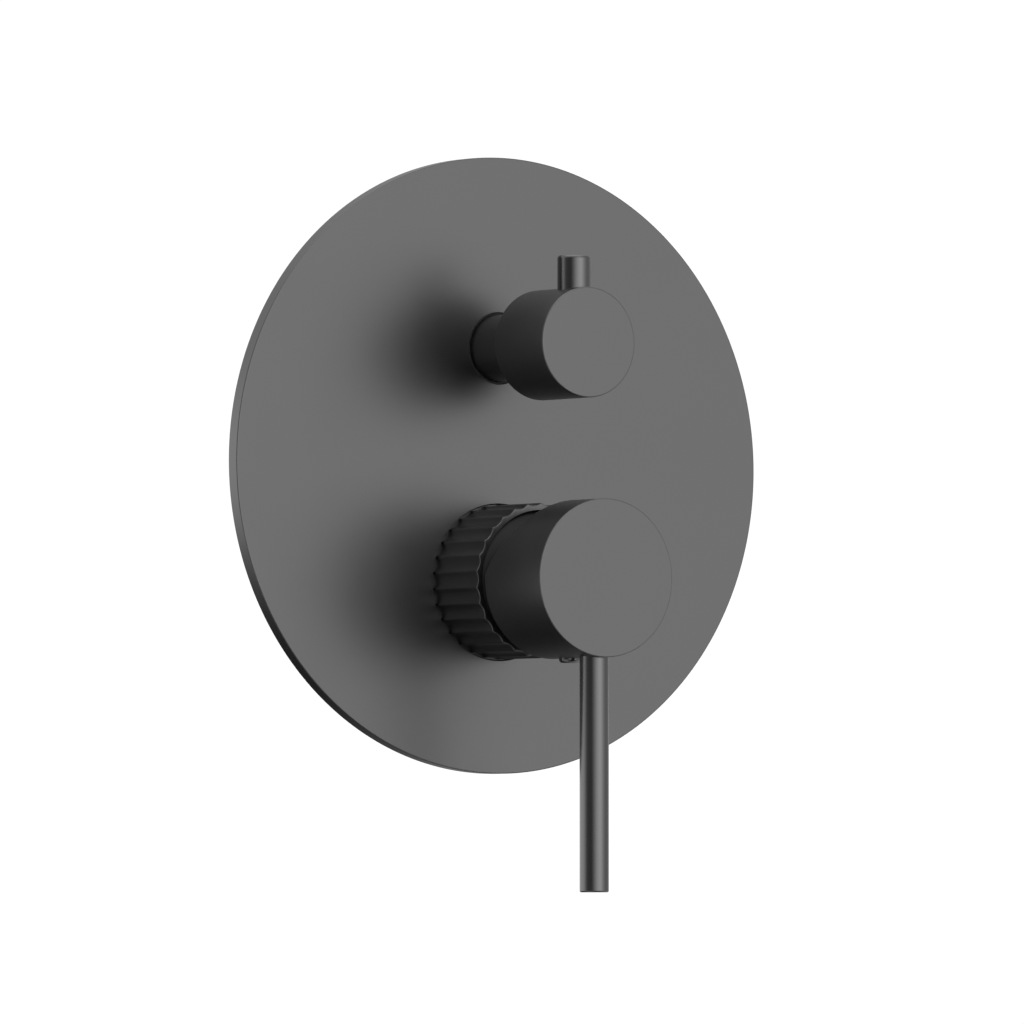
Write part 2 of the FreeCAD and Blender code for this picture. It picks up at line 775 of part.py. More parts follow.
def make_valve_body():
    """Brass body: mixing chamber, diverter chamber, the bridge between them, bosses and waterways."""
    chamber_length = d.body_back_depth - d.seat_depth
    diverter_length = d.body_back_depth - d.diverter_face_depth
    neck_length = d.seat_depth + d.housing_collar_front
    block_face = -d.diverter_face_depth
    top_z = d.diverter_rise
    half_bridge = d.bridge_half_width
    inlet_reach = d.inlet_boss_end
    outlet_reach = d.outlet_boss_reach
    solids = [
        cylinder("mixer_chamber", d.chamber_radius, chamber_length, "back", 0, seat_front, mixer_z),
        cylinder("chamber_neck", d.neck_radius, neck_length, "front", 0, seat_front, mixer_z),
        cylinder("sleeve_land", sleeve_bore, d.seat_depth / 2, "front", 0, seat_front, mixer_z),
        cylinder("diverter_block", d.diverter_block_radius, diverter_length, "back", 0, block_face, top_z),
        box("bridge", (-half_bridge, half_bridge), (body_back, -d.bridge_front_depth), (mixer_z, top_z)),
        cylinder("inlet_boss", d.boss_radius, 2 * inlet_reach, "right", -inlet_reach, inlet_front, mixer_z),
        cylinder("upper_boss", d.boss_radius, outlet_reach, "up", 0, outlet_front, top_z),
        cylinder("side_boss", d.boss_radius, outlet_reach, "right", 0, outlet_front, top_z),
    ]
    spigot = d.union_spigot_length
    spigot_radius = d.union_spigot_radius
    bore_start = d.inlet_bore_start
    bore_length = inlet_reach - bore_start
    port_depth = d.inlet_depth - d.cartridge_floor_depth
    mixed_depth = outlet_depth - d.cartridge_floor_depth
    offset = d.side_port_offset
    mixed_z = mixer_z + d.mixed_port_rise
    divert = d.diverter_port_offset
    divert_radius = d.diverter_port_radius
    divert_depth = outlet_depth - d.headwork_depth
    divert_floor = -d.headwork_depth
    upper_start = top_z + outlet_reach - spigot
    channel = d.channel_radius
    gap = d.channel_gap
    cuts = [
        cylinder("chamber_bore", d.cartridge_radius, d.cartridge_floor_depth + d.housing_collar_front,
                 "front", 0, cartridge_floor, mixer_z),
        cylinder("nut_thread", d.nut_radius, d.housing_collar_front - housing_shoulder,
                 "front", 0, housing_shoulder, mixer_z),
        cylinder("hot_bore", d.inlet_bore_radius, bore_length, "left", -bore_start, inlet_front, mixer_z),
        cylinder("cold_bore", d.inlet_bore_radius, bore_length, "right", bore_start, inlet_front, mixer_z),
        cylinder("hot_socket", spigot_radius, spigot, "left", spigot - inlet_reach, inlet_front, mixer_z),
        cylinder("cold_socket", spigot_radius, spigot, "right", inlet_reach - spigot, inlet_front, mixer_z),
        cylinder("hot_port", d.port_radius, port_depth, "back", -offset, cartridge_floor, mixer_z),
        cylinder("cold_port", d.port_radius, port_depth, "back", offset, cartridge_floor, mixer_z),
        cylinder("mixed_port", d.port_radius, mixed_depth, "back", 0, cartridge_floor, mixed_z),
        cylinder("riser", channel, top_z - gap - mixed_z, "up", 0, outlet_front, mixed_z),
        cylinder("headwork_bore", d.headwork_radius, d.headwork_depth - d.diverter_face_depth,
                 "front", 0, divert_floor, top_z),
        cylinder("diverter_inlet", divert_radius, divert_depth, "back", 0, divert_floor, top_z - divert),
        cylinder("upper_port", divert_radius, divert_depth, "back", 0, divert_floor, top_z + divert),
        cylinder("side_port", divert_radius, divert_depth, "back", divert, divert_floor, top_z),
        cylinder("upper_channel", channel, outlet_reach - gap, "up", 0, outlet_front, top_z + gap),
        cylinder("side_channel", channel, outlet_reach - divert, "right", divert, outlet_front, top_z),
        cylinder("upper_socket", spigot_radius, spigot, "up", 0, outlet_front, upper_start),
        cylinder("side_socket", spigot_radius, spigot, "right", outlet_reach - spigot, outlet_front, top_z),
    ]
    cuts += screw_holes("body_screw_hole", -d.body_back_depth, d.bracket_screw_length, "front")
    keep(cut("body_cut", join("body_solid", solids), cuts), "valve_body")


def screw_places():
    """Where the bracket screws enter the back of the valve body, across and up."""
    return [
        (-d.mixer_screw_offset, mixer_z),
        (d.mixer_screw_offset, mixer_z),
        (-d.diverter_screw_offset, d.diverter_rise),
        (d.diverter_screw_offset, d.diverter_rise),
    ]


def screw_holes(name, front, length, direction):
    """Four round cuts at the places of the bracket screws."""
    return [
        cylinder(f"{name}_{index}", d.bracket_screw_radius, length, direction, x, front, z)
        for index, (x, z) in enumerate(screw_places())
    ]


def make_bracket():
    """Sheet steel bracket behind the valve body, with its four wall holes and four screws."""
    thickness = d.bracket_thickness
    back = body_back - thickness
    width = d.bracket_half_width
    height = d.bracket_half_height
    bracket = new_body("mounting_bracket")
    sketch = sketch_on(bracket, "XZ_Plane", back)
    corner = d.bracket_corner_radius
    outline(sketch, [
        (-(width - corner), -height),
        (width - corner, -height),
        (width, -(height - corner)),
        (width, height - corner),
        (width - corner, height),
        (-(width - corner), height),
        (-width, height - corner),
        (-width, -(height - corner)),
    ], {1: (corner, -1), 3: (corner, -1), 5: (corner, -1), 7: (corner, -1)})
    sheet_pad = bracket.newObject("PartDesign::Pad", "bracket_sheet")
    sheet_pad.Profile = sketch
    bind(sheet_pad, "Length", thickness)
    half_x = d.bracket_hole_spacing_x / 2
    half_z = d.bracket_hole_spacing_z / 2
    corners = [(side * half_x, rise * half_z) for side in (-1, 1) for rise in (-1, 1)]
    holes = [(x, z, d.bracket_hole_radius) for x, z in corners]
    holes += [(x, z, d.bracket_screw_radius) for x, z in screw_places()]
    bored(bracket, holes, 0)
    screws = []
    for index, (x, z) in enumerate(screw_places()):
        shank_length = thickness + d.bracket_screw_length
        shank = cylinder(f"screw_shank_{index}", d.bracket_screw_radius, shank_length, "front", x, back, z)
        head_height = d.bracket_screw_head_height
        head = cylinder(f"screw_head_{index}", d.bracket_screw_head_radius, head_height, "back", x, back, z)
        key = cylinder(f"screw_key_{index}", d.screw_key_radius, head_height / 2,
                       "front", x, back - head_height, z)
        screws.append(cut(f"screw_{index}", join(f"screw_solid_{index}", [shank, head]), [key]))
    group = doc.addObject("Part::Compound", "screw_group")
    group.Links = screws
    keep(group, "bracket_screws")


def make_union(label, direction, x, depth, z):
    """Hexagon union, chamfered at its mouth, with a parallel pipe thread and a spigot in its boss."""
    flange_start = d.washer_thickness
    hexagon = doc.addObject("Part::Prism", f"{label}_hexagon")
    hexagon.Polygon = UNION_SIDES
    bind(hexagon, "Circumradius", union_corner_radius)
    bind(hexagon, "Height", d.union_length)
    bind(hexagon, "Placement.Base.z", flange_start)
    slope = (union_corner_radius - union_flat_radius) / d.union_chamfer
    cone = doc.addObject("Part::Cone", f"{label}_cone")
    bind(cone, "Radius1", union_flat_radius + slope * d.union_length)
    bind(cone, "Radius2", union_flat_radius)
    bind(cone, "Height", d.union_length)
    bind(cone, "Placement.Base.z", flange_start)
    chamfered = doc.addObject("Part::MultiCommon", f"{label}_chamfered")
    chamfered.Shapes = [hexagon, cone]
    tail = -d.union_spigot_length
    end = flange_start + d.union_length
    thread_start = end - d.union_thread_length
    spigot = upright_cylinder(f"{label}_spigot", d.union_spigot_radius, flange_start - tail, tail)
    thread = upright_cylinder(f"{label}_thread", d.union_thread_radius, d.union_thread_length, thread_start)
    way = upright_cylinder(f"{label}_way", d.inlet_bore_radius, end - tail, tail)
    union = cut(f"{label}_cut", join(f"{label}_solid", [chamfered, spigot]), [thread, way])
    turn_to(union, direction)
    place(union, x, -depth, z)
    keep(union, label)
    ring = upright_cylinder(f"{label}_ring", d.boss_radius, flange_start, 0)
    hole = upright_cylinder(f"{label}_ring_hole", d.union_spigot_radius, flange_start, 0)
    washer = cut(f"{label}_ring_cut", ring, [hole])
    turn_to(washer, direction)
    place(washer, x, -depth, z)
    keep(washer, label.replace("union", "washer"))


def upright_cylinder(name, radius, length, start):
    """A cylinder on its own Z axis from a height upwards."""
    obj = doc.addObject("Part::Cylinder", name)
    bind(obj, "Radius", radius)
    bind(obj, "Height", length)
    bind(obj, "Placement.Base.z", start)
    return obj


def make_check_valve(label, direction, x):
    """Sealed check valve cartridge that slides into an inlet ahead of its union."""
    half_length = d.check_valve_length / 2
    shell = upright_cylinder(f"{label}_shell", d.check_valve_radius, d.check_valve_length, 0)
    mouth = upright_cylinder(f"{label}_mouth", d.check_valve_bore, half_length, half_length)
    valve = cut(f"{label}_cut", shell, [mouth])
    turn_to(valve, direction)
    place(valve, x, -d.inlet_depth, mixer_z)
    keep(valve, label)


def make_connections():
    """Two inlets with check valves beside the mixing chamber and two outlets on the diverter chamber."""
    end = d.inlet_boss_end
    reach = d.outlet_boss_reach
    top_z = d.diverter_rise
    make_union("hot_inlet_union", "left", -end, d.inlet_depth, mixer_z)
    make_union("cold_inlet_union", "right", end, d.inlet_depth, mixer_z)
    make_union("upper_outlet_union", "up", 0, outlet_depth, top_z + reach)
    make_union("side_outlet_union", "right", reach, outlet_depth, top_z)
    valve_start = end - d.union_spigot_length - d.check_valve_length
    make_check_valve("hot_check_valve", "left", -valve_start)
    make_check_valve("cold_check_valve", "right", valve_start)


def make_diverter():
    """Diverter knob with its pin, the collar, the headwork, the spindle and the ceramic discs."""
    z = d.diverter_rise
    floor = -d.headwork_depth
    seal_front = floor + d.diverter_seal_thickness
    seat_disc_front = seal_front + d.diverter_disc_thickness
    rotor_front = seat_disc_front + d.diverter_disc_thickness
    flange_top = rotor_front + d.spindle_flange_thickness
    cavity_top = flange_top + d.running_gap
    face = -d.diverter_face_depth
    collar_bore_radius = d.collar_radius - d.collar_wall
    spindle_bore = d.spindle_radius + d.running_gap
    gland_back = d.headwork_front - d.gland_length
    collar_front = d.knob_back - d.air_gap
    turned("diverter_collar", ring_corners(collar_bore_radius, d.collar_radius, face, collar_front), z=z)
    ring_back = d.collar_ring_back
    ring_front = ring_back + d.collar_ring_width
    turned("collar_seal", ring_corners(d.collar_radius, collar_hole_radius, ring_back, ring_front), z=z)
    turned("diverter_headwork", [
        (d.headwork_cavity_radius, floor),
        (d.headwork_cavity_radius, cavity_top),
        (spindle_bore, cavity_top),
        (spindle_bore, gland_back),
        (d.gland_radius, gland_back),
        (d.gland_radius, d.headwork_front),
        (collar_bore_radius, d.headwork_front),
        (collar_bore_radius, face),
        (d.headwork_radius, face),
        (d.headwork_radius, floor),
    ], z=z)
    turned("spindle_seal", ring_corners(spindle_bore, d.gland_radius, gland_back, d.headwork_front), z=z)
    offset = d.diverter_port_offset
    radius = d.diverter_port_radius
    ports = [(0, -offset, radius), (0, offset, radius), (offset, 0, radius)]
    seal_corners = ring_corners(0, d.diverter_disc_radius, floor, seal_front)
    bored(turned("diverter_seat_seal", seal_corners, z=z), ports, 0)
    seat_corners = ring_corners(0, d.diverter_disc_radius, seal_front, seat_disc_front)
    bored(turned("diverter_fixed_disc", seat_corners, z=z), ports, 0)
    rotor_corners = ring_corners(0, d.spindle_flange_radius, seat_disc_front, rotor_front)
    rotor = turned("diverter_moving_disc", rotor_corners, z=z)
    half_thickness = d.diverter_disc_thickness / 2
    bored(rotor, [(0, offset / 2, offset)], seat_disc_front + half_thickness, half_thickness)
    make_spindle(z, rotor_front, flange_top)
    make_knob(z)


def make_spindle(z, back, flange_top):
    """Diverter spindle: a flange on the moving disc, a round shank and a square end in the knob."""
    shoulder = d.spindle_shoulder_front
    flange = cylinder("spindle_flange", d.spindle_flange_radius, flange_top - back, "front", 0, back, z)
    shank = cylinder("spindle_shank", d.spindle_radius, shoulder - flange_top, "front", 0, flange_top, z)
    half = d.spindle_square / 2
    square = box("spindle_end", (-half, half), (shoulder, d.spindle_front), (z - half, z + half))
    keep(join("spindle_solid", [flange, shank, square]), "diverter_spindle")


def make_knob(z):
    """Round diverter knob with a square socket, its standing pin and its clamping screw."""
    bevel = d.knob_edge_bevel
    knob = turned("diverter_knob", [
        (0, d.knob_back),
        (0, d.knob_front),
        (d.knob_radius - bevel, d.knob_front),
        (d.knob_radius, d.knob_front - bevel),
        (d.knob_radius, d.knob_back + bevel),
        (d.knob_radius - bevel, d.knob_back),
    ], z=z)
    half = d.spindle_square / 2 + d.stem_fit
    socket = sketch_on(knob, "XZ_Plane", d.knob_socket_front)
    rectangle(socket, -half, -half, half, half)
    pocket(knob, socket, d.knob_socket_front - d.knob_back)
    pin_front = d.knob_front - d.knob_pin_setback
    seat_radius = d.knob_pin_radius + d.lever_fit
    stud_blind = d.knob_pin_seat - d.knob_stud_length
    drilled_upright(knob, seat_radius, pin_front, d.knob_pin_seat, d.knob_radius, upwards=True)
    drilled_upright(knob, d.stud_radius, pin_front, stud_blind - d.air_gap, d.knob_radius, upwards=True)
    drilled_upright(knob, d.knob_screw_radius, d.knob_screw_front, 0, d.knob_radius)
    turned_upright("diverter_pin", [
        (0, stud_blind),
        (d.stud_radius, stud_blind),
        (d.stud_radius, d.knob_pin_seat),
        (d.knob_pin_radius, d.knob_pin_seat),
        (d.knob_pin_radius, d.knob_pin_top - d.knob_pin_round),
        (d.knob_pin_radius - d.knob_pin_round, d.knob_pin_top),
        (0, d.knob_pin_top),
    ], {4: (d.knob_pin_round, -1)}, front=pin_front, z=z)
    screw_start = d.spindle_square / 2
    set_screw("knob_grub_screw", d.knob_screw_radius, screw_start, d.knob_screw_length,
              d.knob_screw_front, z)


def check_and_export():
    """Stop on any failed object, then write each piece to its own file."""
    failed = [obj.Label for obj in doc.Objects if "Invalid" in obj.State or "Error" in obj.State]
    if failed:
        raise RuntimeError(f"objects that failed: {failed}")
    for piece in pieces:
        if piece.Shape.isNull() or not piece.Shape.isValid() or not piece.Shape.Solids:
            raise RuntimeError(f"no sound shape: {piece.Label}")
    for piece in pieces:
        piece.Shape.exportStep(f"parts/{piece.Label}.step")
        box_size = piece.Shape.BoundBox
        print(f"{piece.Label}: {len(piece.Shape.Solids)} solid, {piece.Shape.Volume:.1f} mm3, "
              f"Y {box_size.YMin:.2f} to {box_size.YMax:.2f}, Z {box_size.ZMin:.2f} to {box_size.ZMax:.2f}")


make_wall_plate()
make_sleeve()
make_handle()
make_guide()
make_discs()
make_cartridge()
make_cover()
make_valve_body()
make_bracket()
make_connections()
make_diverter()
doc.recompute()
check_and_export()
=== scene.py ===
"""Looks of a concealed shower mixer: a round plate, a fluted sleeve, a handle cap with a hanging
pin lever, a diverter knob, and the brass body in the wall that carries them."""

import json
import logging
import math
from dataclasses import dataclass
from enum import Enum
from typing import Callable

import bmesh
import bpy
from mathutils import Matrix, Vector


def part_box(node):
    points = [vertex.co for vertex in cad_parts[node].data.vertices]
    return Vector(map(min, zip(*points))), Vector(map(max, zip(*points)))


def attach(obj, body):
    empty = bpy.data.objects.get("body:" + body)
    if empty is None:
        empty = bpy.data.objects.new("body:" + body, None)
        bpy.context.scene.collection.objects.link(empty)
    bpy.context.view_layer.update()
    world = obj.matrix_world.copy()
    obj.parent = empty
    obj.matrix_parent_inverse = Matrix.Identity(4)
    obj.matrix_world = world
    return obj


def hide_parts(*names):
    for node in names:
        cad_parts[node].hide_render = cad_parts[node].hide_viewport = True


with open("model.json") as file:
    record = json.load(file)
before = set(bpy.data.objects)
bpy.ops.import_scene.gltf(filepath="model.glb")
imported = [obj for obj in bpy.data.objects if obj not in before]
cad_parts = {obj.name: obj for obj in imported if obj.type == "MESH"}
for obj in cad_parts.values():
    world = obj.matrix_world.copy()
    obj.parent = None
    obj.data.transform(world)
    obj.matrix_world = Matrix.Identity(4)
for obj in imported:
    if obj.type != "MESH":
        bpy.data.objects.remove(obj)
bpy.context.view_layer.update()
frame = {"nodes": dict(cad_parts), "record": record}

MM = 0.001
ON_AXIS_MM = 1e-6
MERGE_MM = 0.0005
SMOOTH_UNDER_DEGREES = 32.0
SLEEVE_SMOOTH_UNDER_DEGREES = 26.0
MIDDLE_OF_NOISE = (0.3, 0.7)
HALF_TURN_DEGREES = 180.0
WHITE = (1.0, 1.0, 1.0, 1.0)
MIX_SHARE, MIX_FIRST_NUMBER, MIX_SECOND_NUMBER, MIX_NUMBER_RESULT = 0, 2, 3, 0
MIX_FIRST_COLOUR, MIX_SECOND_COLOUR, MIX_COLOUR_RESULT = 6, 7, 2
Point = tuple[float, float]
Stops = tuple[tuple[float, float], ...]
LOG = logging.getLogger("shower_mixer")


class Axis(Enum):
    """The direction that a turned piece is turned about."""

    OUT = "out of the wall"
    UP = "up"


@dataclass(frozen=True)
class Corner:
    """One corner of a turned outline, in millimetres.

    For a piece turned about OUT, along is the distance out of the wall; for one turned about UP, the height.
    """

    radius: float
    along: float
    rounding: float = 0.0


def linear(hex_colour: str) -> tuple[float, float, float, float]:
    """Turn an sRGB hex colour into linear light.

    Args:
        hex_colour: six hex digits after a hash.

    Returns:
        Red, green, blue and an alpha of one.
    """
    parts = [int(hex_colour[index:index + 2], 16) / 255 for index in (1, 3, 5)]
    red, green, blue = (c / 12.92 if c <= 0.04045 else ((c + 0.055) / 1.055) ** 2.4 for c in parts)
    return red, green, blue, 1.0


def add_node(tree: bpy.types.NodeTree, kind: str, settings: dict | None = None,
             inputs: dict | None = None) -> bpy.types.Node:
    """Add one node with its settings and links.

    Args:
        tree: the node tree that gets the node.
        kind: Blender's name of the node type.
        settings: the node's own properties.
        inputs: socket names or numbers, each with a value or with the output socket that feeds it.

    Returns:
        The new node.
    """
    node = tree.nodes.new(kind)
    for name, value in (settings or {}).items():
        setattr(node, name, value)
    for name, value in (inputs or {}).items():
        if isinstance(value, bpy.types.NodeSocket):
            tree.links.new(value, node.inputs[name])
        else:
            node.inputs[name].default_value = value
    return node


def new_material(name: str) -> tuple[bpy.types.Material, bpy.types.NodeTree, bpy.types.NodeSocket]:
    """Make an empty node material.

    Args:
        name: the material's name.

    Returns:
        The material, its node tree and the object coordinates that its patterns use.
    """
    material = bpy.data.materials.new(name)
    material.use_nodes = True
    tree = material.node_tree
    tree.nodes.clear()
    coordinates = add_node(tree, "ShaderNodeTexCoord").outputs["Object"]
    return material, tree, coordinates


def finish_material(tree: bpy.types.NodeTree, inputs: dict) -> None:
    """Add the surface shader and the output to a material.

    Args:
        tree: the material's node tree.
        inputs: the sockets of the surface shader that are set or fed.
    """
    shader = add_node(tree, "ShaderNodeBsdfPrincipled", inputs=inputs)
    add_node(tree, "ShaderNodeOutputMaterial", inputs={"Surface": shader.outputs["BSDF"]})


def noise(tree: bpy.types.NodeTree, coordinates: bpy.types.NodeSocket, size_mm: float,
          detail: float = 2.0) -> bpy.types.NodeSocket:
    """Noise whose features are about a real size across.

    Args:
        tree: the material's node tree.
        coordinates: where the noise is read, in metres.
        size_mm: the size of a feature in millimetres.
        detail: how many finer layers it has.

    Returns:
        The noise's value socket.
    """
    settings = {"Vector": coordinates, "Scale": 1 / (size_mm * MM), "Detail": detail}
    return add_node(tree, "ShaderNodeTexNoise", inputs=settings).outputs["Fac"]


def spread(tree: bpy.types.NodeTree, value: bpy.types.NodeSocket, low: float,
           high: float) -> bpy.types.NodeSocket:
    """Stretch a noise's middle range between two numbers."""
    node = add_node(tree, "ShaderNodeMapRange", inputs={
        "Value": value, "From Min": MIDDLE_OF_NOISE[0], "From Max": MIDDLE_OF_NOISE[1],
        "To Min": low, "To Max": high})
    return node.outputs["Result"]


def two_colours(tree: bpy.types.NodeTree, value: bpy.types.NodeSocket, first: str,
                second: str) -> bpy.types.NodeSocket:
    """Mix two sRGB colours by a value and return the colour socket."""
    mix = add_node(tree, "ShaderNodeMix", {"data_type": "RGBA"}, {
        MIX_SHARE: value, MIX_FIRST_COLOUR: linear(first), MIX_SECOND_COLOUR: linear(second)})
    return mix.outputs[MIX_COLOUR_RESULT]


def bump(tree: bpy.types.NodeTree, height: bpy.types.NodeSocket, depth_mm: float) -> bpy.types.NodeSocket:
    """Bump from a height value whose full range is a real depth."""
    node = add_node(tree, "ShaderNodeBump", inputs={
        "Strength": 1.0, "Distance": depth_mm * MM, "Height": height})
    return node.outputs["Normal"]


@dataclass(frozen=True)
class SatinGunmetal:
    """Vapour-coated brass and stainless steel, blasted to a satin before it was coated.

    The coating is thin, so the eye sees metal: reflections, but soft ones, of a dark neutral grey.
    """

    name: str = "satin_gunmetal"
    light: str = "#79797A"
    dark: str = "#767677"
    roughness: float = 0.37
    roughness_swing: float = 0.02
    cloud_mm: float = 22.0
    grain_mm: float = 0.35
    grain_depth_mm: float = 0.0015

    def build(self) -> bpy.types.Material:
        """Make the material: cloudy tone and gloss, and a blasted grain, coarser than the real 0.05 mm."""
        material, tree, coordinates = new_material(self.name)
        cloud = noise(tree, coordinates, self.cloud_mm)
        grain = noise(tree, coordinates, self.grain_mm)
        finish_material(tree, {
            "Base Color": two_colours(tree, spread(tree, cloud, 0.0, 1.0), self.dark, self.light),
            "Metallic": 1.0,
            "Roughness": spread(tree, cloud, self.roughness - self.roughness_swing,
                                self.roughness + self.roughness_swing),
            "Normal": bump(tree, grain, self.grain_depth_mm),
        })
        return material


@dataclass(frozen=True)
class MetalStock:
    """Bare or plated metal as cast, machined or rolled: cloudy in tone, with the grain of its making."""

    name: str
    light: str
    dark: str
    roughness: float
    cloud_mm: float
    grain_mm: float
    grain_depth_mm: float
    gloss_swing: float = 0.2
    cloud_layers: float = 4.0
    grain_layers: float = 3.0

    def build(self) -> bpy.types.Material:
        """Make the material with clouded tone, uneven gloss and the grain of its making."""
        material, tree, coordinates = new_material(self.name)
        cloud = noise(tree, coordinates, self.cloud_mm, self.cloud_layers)
        grain = noise(tree, coordinates, self.grain_mm, self.grain_layers)
        finish_material(tree, {
            "Base Color": two_colours(tree, spread(tree, cloud, 0.0, 1.0), self.dark, self.light),
            "Metallic": 1.0,
            "Roughness": spread(tree, cloud, self.roughness * (1 - self.gloss_swing),
                                self.roughness * (1 + self.gloss_swing)),
            "Normal": bump(tree, grain, self.grain_depth_mm),
        })
        return material


@dataclass(frozen=True)
class MouldedStock:
    """Moulded plastic, rubber, pressed fibre or fired ceramic: no metal in it, so its colour is its own."""

    name: str
    light: str
    dark: str
    roughness: float
    ior: float
    cloud_mm: float
    grain_mm: float
    grain_depth_mm: float
    gloss_swing: float = 0.15
    cloud_layers: float = 3.0

    def build(self) -> bpy.types.Material:
        """Make the material with a slight mottle and the grain of its mould or blank."""
        material, tree, coordinates = new_material(self.name)
        cloud = noise(tree, coordinates, self.cloud_mm, self.cloud_layers)
        grain = noise(tree, coordinates, self.grain_mm)
        finish_material(tree, {
            "Base Color": two_colours(tree, spread(tree, cloud, 0.0, 1.0), self.dark, self.light),
            "Metallic": 0.0,
            "Roughness": spread(tree, grain, self.roughness * (1 - self.gloss_swing),
                                self.roughness * (1 + self.gloss_swing)),
            "IOR": self.ior,
            "Normal": bump(tree, grain, self.grain_depth_mm),
        })
        return material


def rounded_outline(corners: list[Corner], steps: int = 5, support: float = 0.12) -> list[Point]:
    """Turn corners into outline points, with each rounding as a short arc.

    Args:
        corners: the outline's corners in order, from the first to the last.
        steps: how many pieces each arc has.
        support: how far past an arc, in millimetres, one more point holds the flat side flat.

    Returns:
        Pairs of radius and distance along the axis, in millimetres.
    """
    points: list[Point] = []
    for index, corner in enumerate(corners):
        here = Vector((corner.radius, corner.along))
        if corner.rounding <= 0 or index in (0, len(corners) - 1):
            points.append((here.x, here.y))
            continue
        before, after = (
            (Vector((other.radius, other.along)) - here).normalized()
            for other in (corners[index - 1], corners[index + 1])
        )
        half = before.angle(after) / 2
        reach = corner.rounding / math.tan(half)
        start, end = here + before * reach, here + after * reach
        middle = here + (before + after).normalized() * (corner.rounding / math.sin(half))
        points.append(tuple(here + before * (reach + support)))
        first = start - middle
        turn = first.angle_signed(end - middle)
        for step in range(steps + 1):
            share = -turn * step / steps
            cosine, sine = math.cos(share), math.sin(share)
            points.append((middle.x + first.x * cosine - first.y * sine,
                           middle.y + first.x * sine + first.y * cosine))
        points.append(tuple(here + after * (reach + support)))
    return points


def spot(axis: Axis, centre: Vector, radius: float, angle: float, along: float) -> tuple[float, float, float]:
    """A point of a turned piece, in metres.

    Args:
        axis: what the piece is turned about.
        centre: a point on the axis where along is zero, in metres.
        radius: the distance from the axis in millimetres.
        angle: the angle about the axis in radians.
        along: the distance along the axis in millimetres.

    Returns:
        The point in the shared frame.
    """
    across, other = radius * math.cos(angle) * MM, radius * math.sin(angle) * MM
    if axis is Axis.OUT:
        return centre.x + across, centre.y - along * MM, centre.z + other
    return centre.x + across, centre.y + other, centre.z + along * MM


def shade(data: bpy.types.Mesh, smooth_under: float) -> None:
    """Shade a mesh smooth, but for its edges over an angle in degrees."""
    for polygon in data.polygons:
        polygon.use_smooth = True
    data.set_sharp_from_angle(angle=math.radians(smooth_under))


def mesh_object(name: str, mesh: bmesh.types.BMesh,
                smooth_under: float = SMOOTH_UNDER_DEGREES) -> bpy.types.Object:
    """Make an object of a mesh, with clean faces and edges that are smooth up to an angle.

    Args:
        name: the piece's name.
        mesh: the mesh, which is used up.
        smooth_under: the angle in degrees up to which two faces shade as one surface.

    Returns:
        The new object, linked to the scene.
    """
    bmesh.ops.remove_doubles(mesh, verts=mesh.verts, dist=MERGE_MM * MM)
    bmesh.ops.dissolve_degenerate(mesh, edges=mesh.edges, dist=MERGE_MM * MM)
    bmesh.ops.recalc_face_normals(mesh, faces=mesh.faces)
    data = bpy.data.meshes.new(name)
    mesh.to_mesh(data)
    mesh.free()
    shade(data, smooth_under)
    piece = bpy.data.objects.new(name, data)
    bpy.context.scene.collection.objects.link(piece)
    return piece


def lathe(name: str, corners: list[Corner], axis: Axis, centre: Vector, segments: int = 192,
          closed: bool = False) -> bpy.types.Object:
    """Turn an outline about an axis.

    Args:
        name: the piece's name.
        corners: the outline; it starts and ends on the axis unless it is closed.
        axis: what it is turned about.
        centre: a point on the axis in metres.
        segments: how many steps a full turn has.
        closed: whether the last corner joins the first, as in a ring.

    Returns:
        The turned piece.
    """
    return turned_object(name, ring_points(corners, closed), axis, centre, segments, closed)


def ring_points(corners: list[Corner], closed: bool) -> list[Point]:
    """Outline points of a lathe piece; a closed outline is rounded at its first and last corner too."""
    if not closed:
        return rounded_outline(corners)
    looped = rounded_outline([corners[-1], *corners, corners[0]])
    return looped[1:-1]


def turned_object(name: str, points: list[Point], axis: Axis, centre: Vector, segments: int,
                  closed: bool) -> bpy.types.Object:
    """Make the mesh of a turned piece from its outline points."""
    mesh = bmesh.new()
    rings = []
    for radius, along in points:
        if radius < ON_AXIS_MM:
            rings.append([mesh.verts.new(spot(axis, centre, 0.0, 0.0, along))])
        else:
            rings.append([mesh.verts.new(spot(axis, centre, radius, math.tau * step / segments, along))
                          for step in range(segments)])
    pairs = list(zip(rings, rings[1:]))
    if closed:
        pairs.append((rings[-1], rings[0]))
    for first, second in pairs:
        bridge(mesh, first, second)
    return mesh_object(name, mesh)


def bridge(mesh: bmesh.types.BMesh, first: list, second: list) -> None:
    """Fill the band between two rings; a ring of one point makes a fan."""
    count = max(len(first), len(second))
    if count == 1:
        return
    for step in range(count):
        after = (step + 1) % count
        if len(first) == 1:
            mesh.faces.new((first[0], second[step], second[after]))
        elif len(second) == 1:
            mesh.faces.new((first[step], second[0], first[after]))
        else:
            mesh.faces.new((first[step], second[step], second[after], first[after]))


def cut_away(piece: bpy.types.Object, cutter: bpy.types.Object) -> None:
    """Take one closed mesh out of another, and remove the one that cut.

    Args:
        piece: the piece that is cut.
        cutter: the closed mesh that cuts, removed afterwards.
    """
    modifier = piece.modifiers.new("cut", "BOOLEAN")
    modifier.operation = "DIFFERENCE"
    modifier.solver = "EXACT"
    modifier.object = cutter
    bpy.context.view_layer.update()
    evaluated = piece.evaluated_get(bpy.context.evaluated_depsgraph_get())
    data = bpy.data.meshes.new_from_object(evaluated)
    piece.modifiers.clear()
    old = piece.data
    piece.data = data
    bpy.data.meshes.remove(old)
    cutter_data = cutter.data
    bpy.data.objects.remove(cutter)
    bpy.data.meshes.remove(cutter_data)
    shade(data, SMOOTH_UNDER_DEGREES)


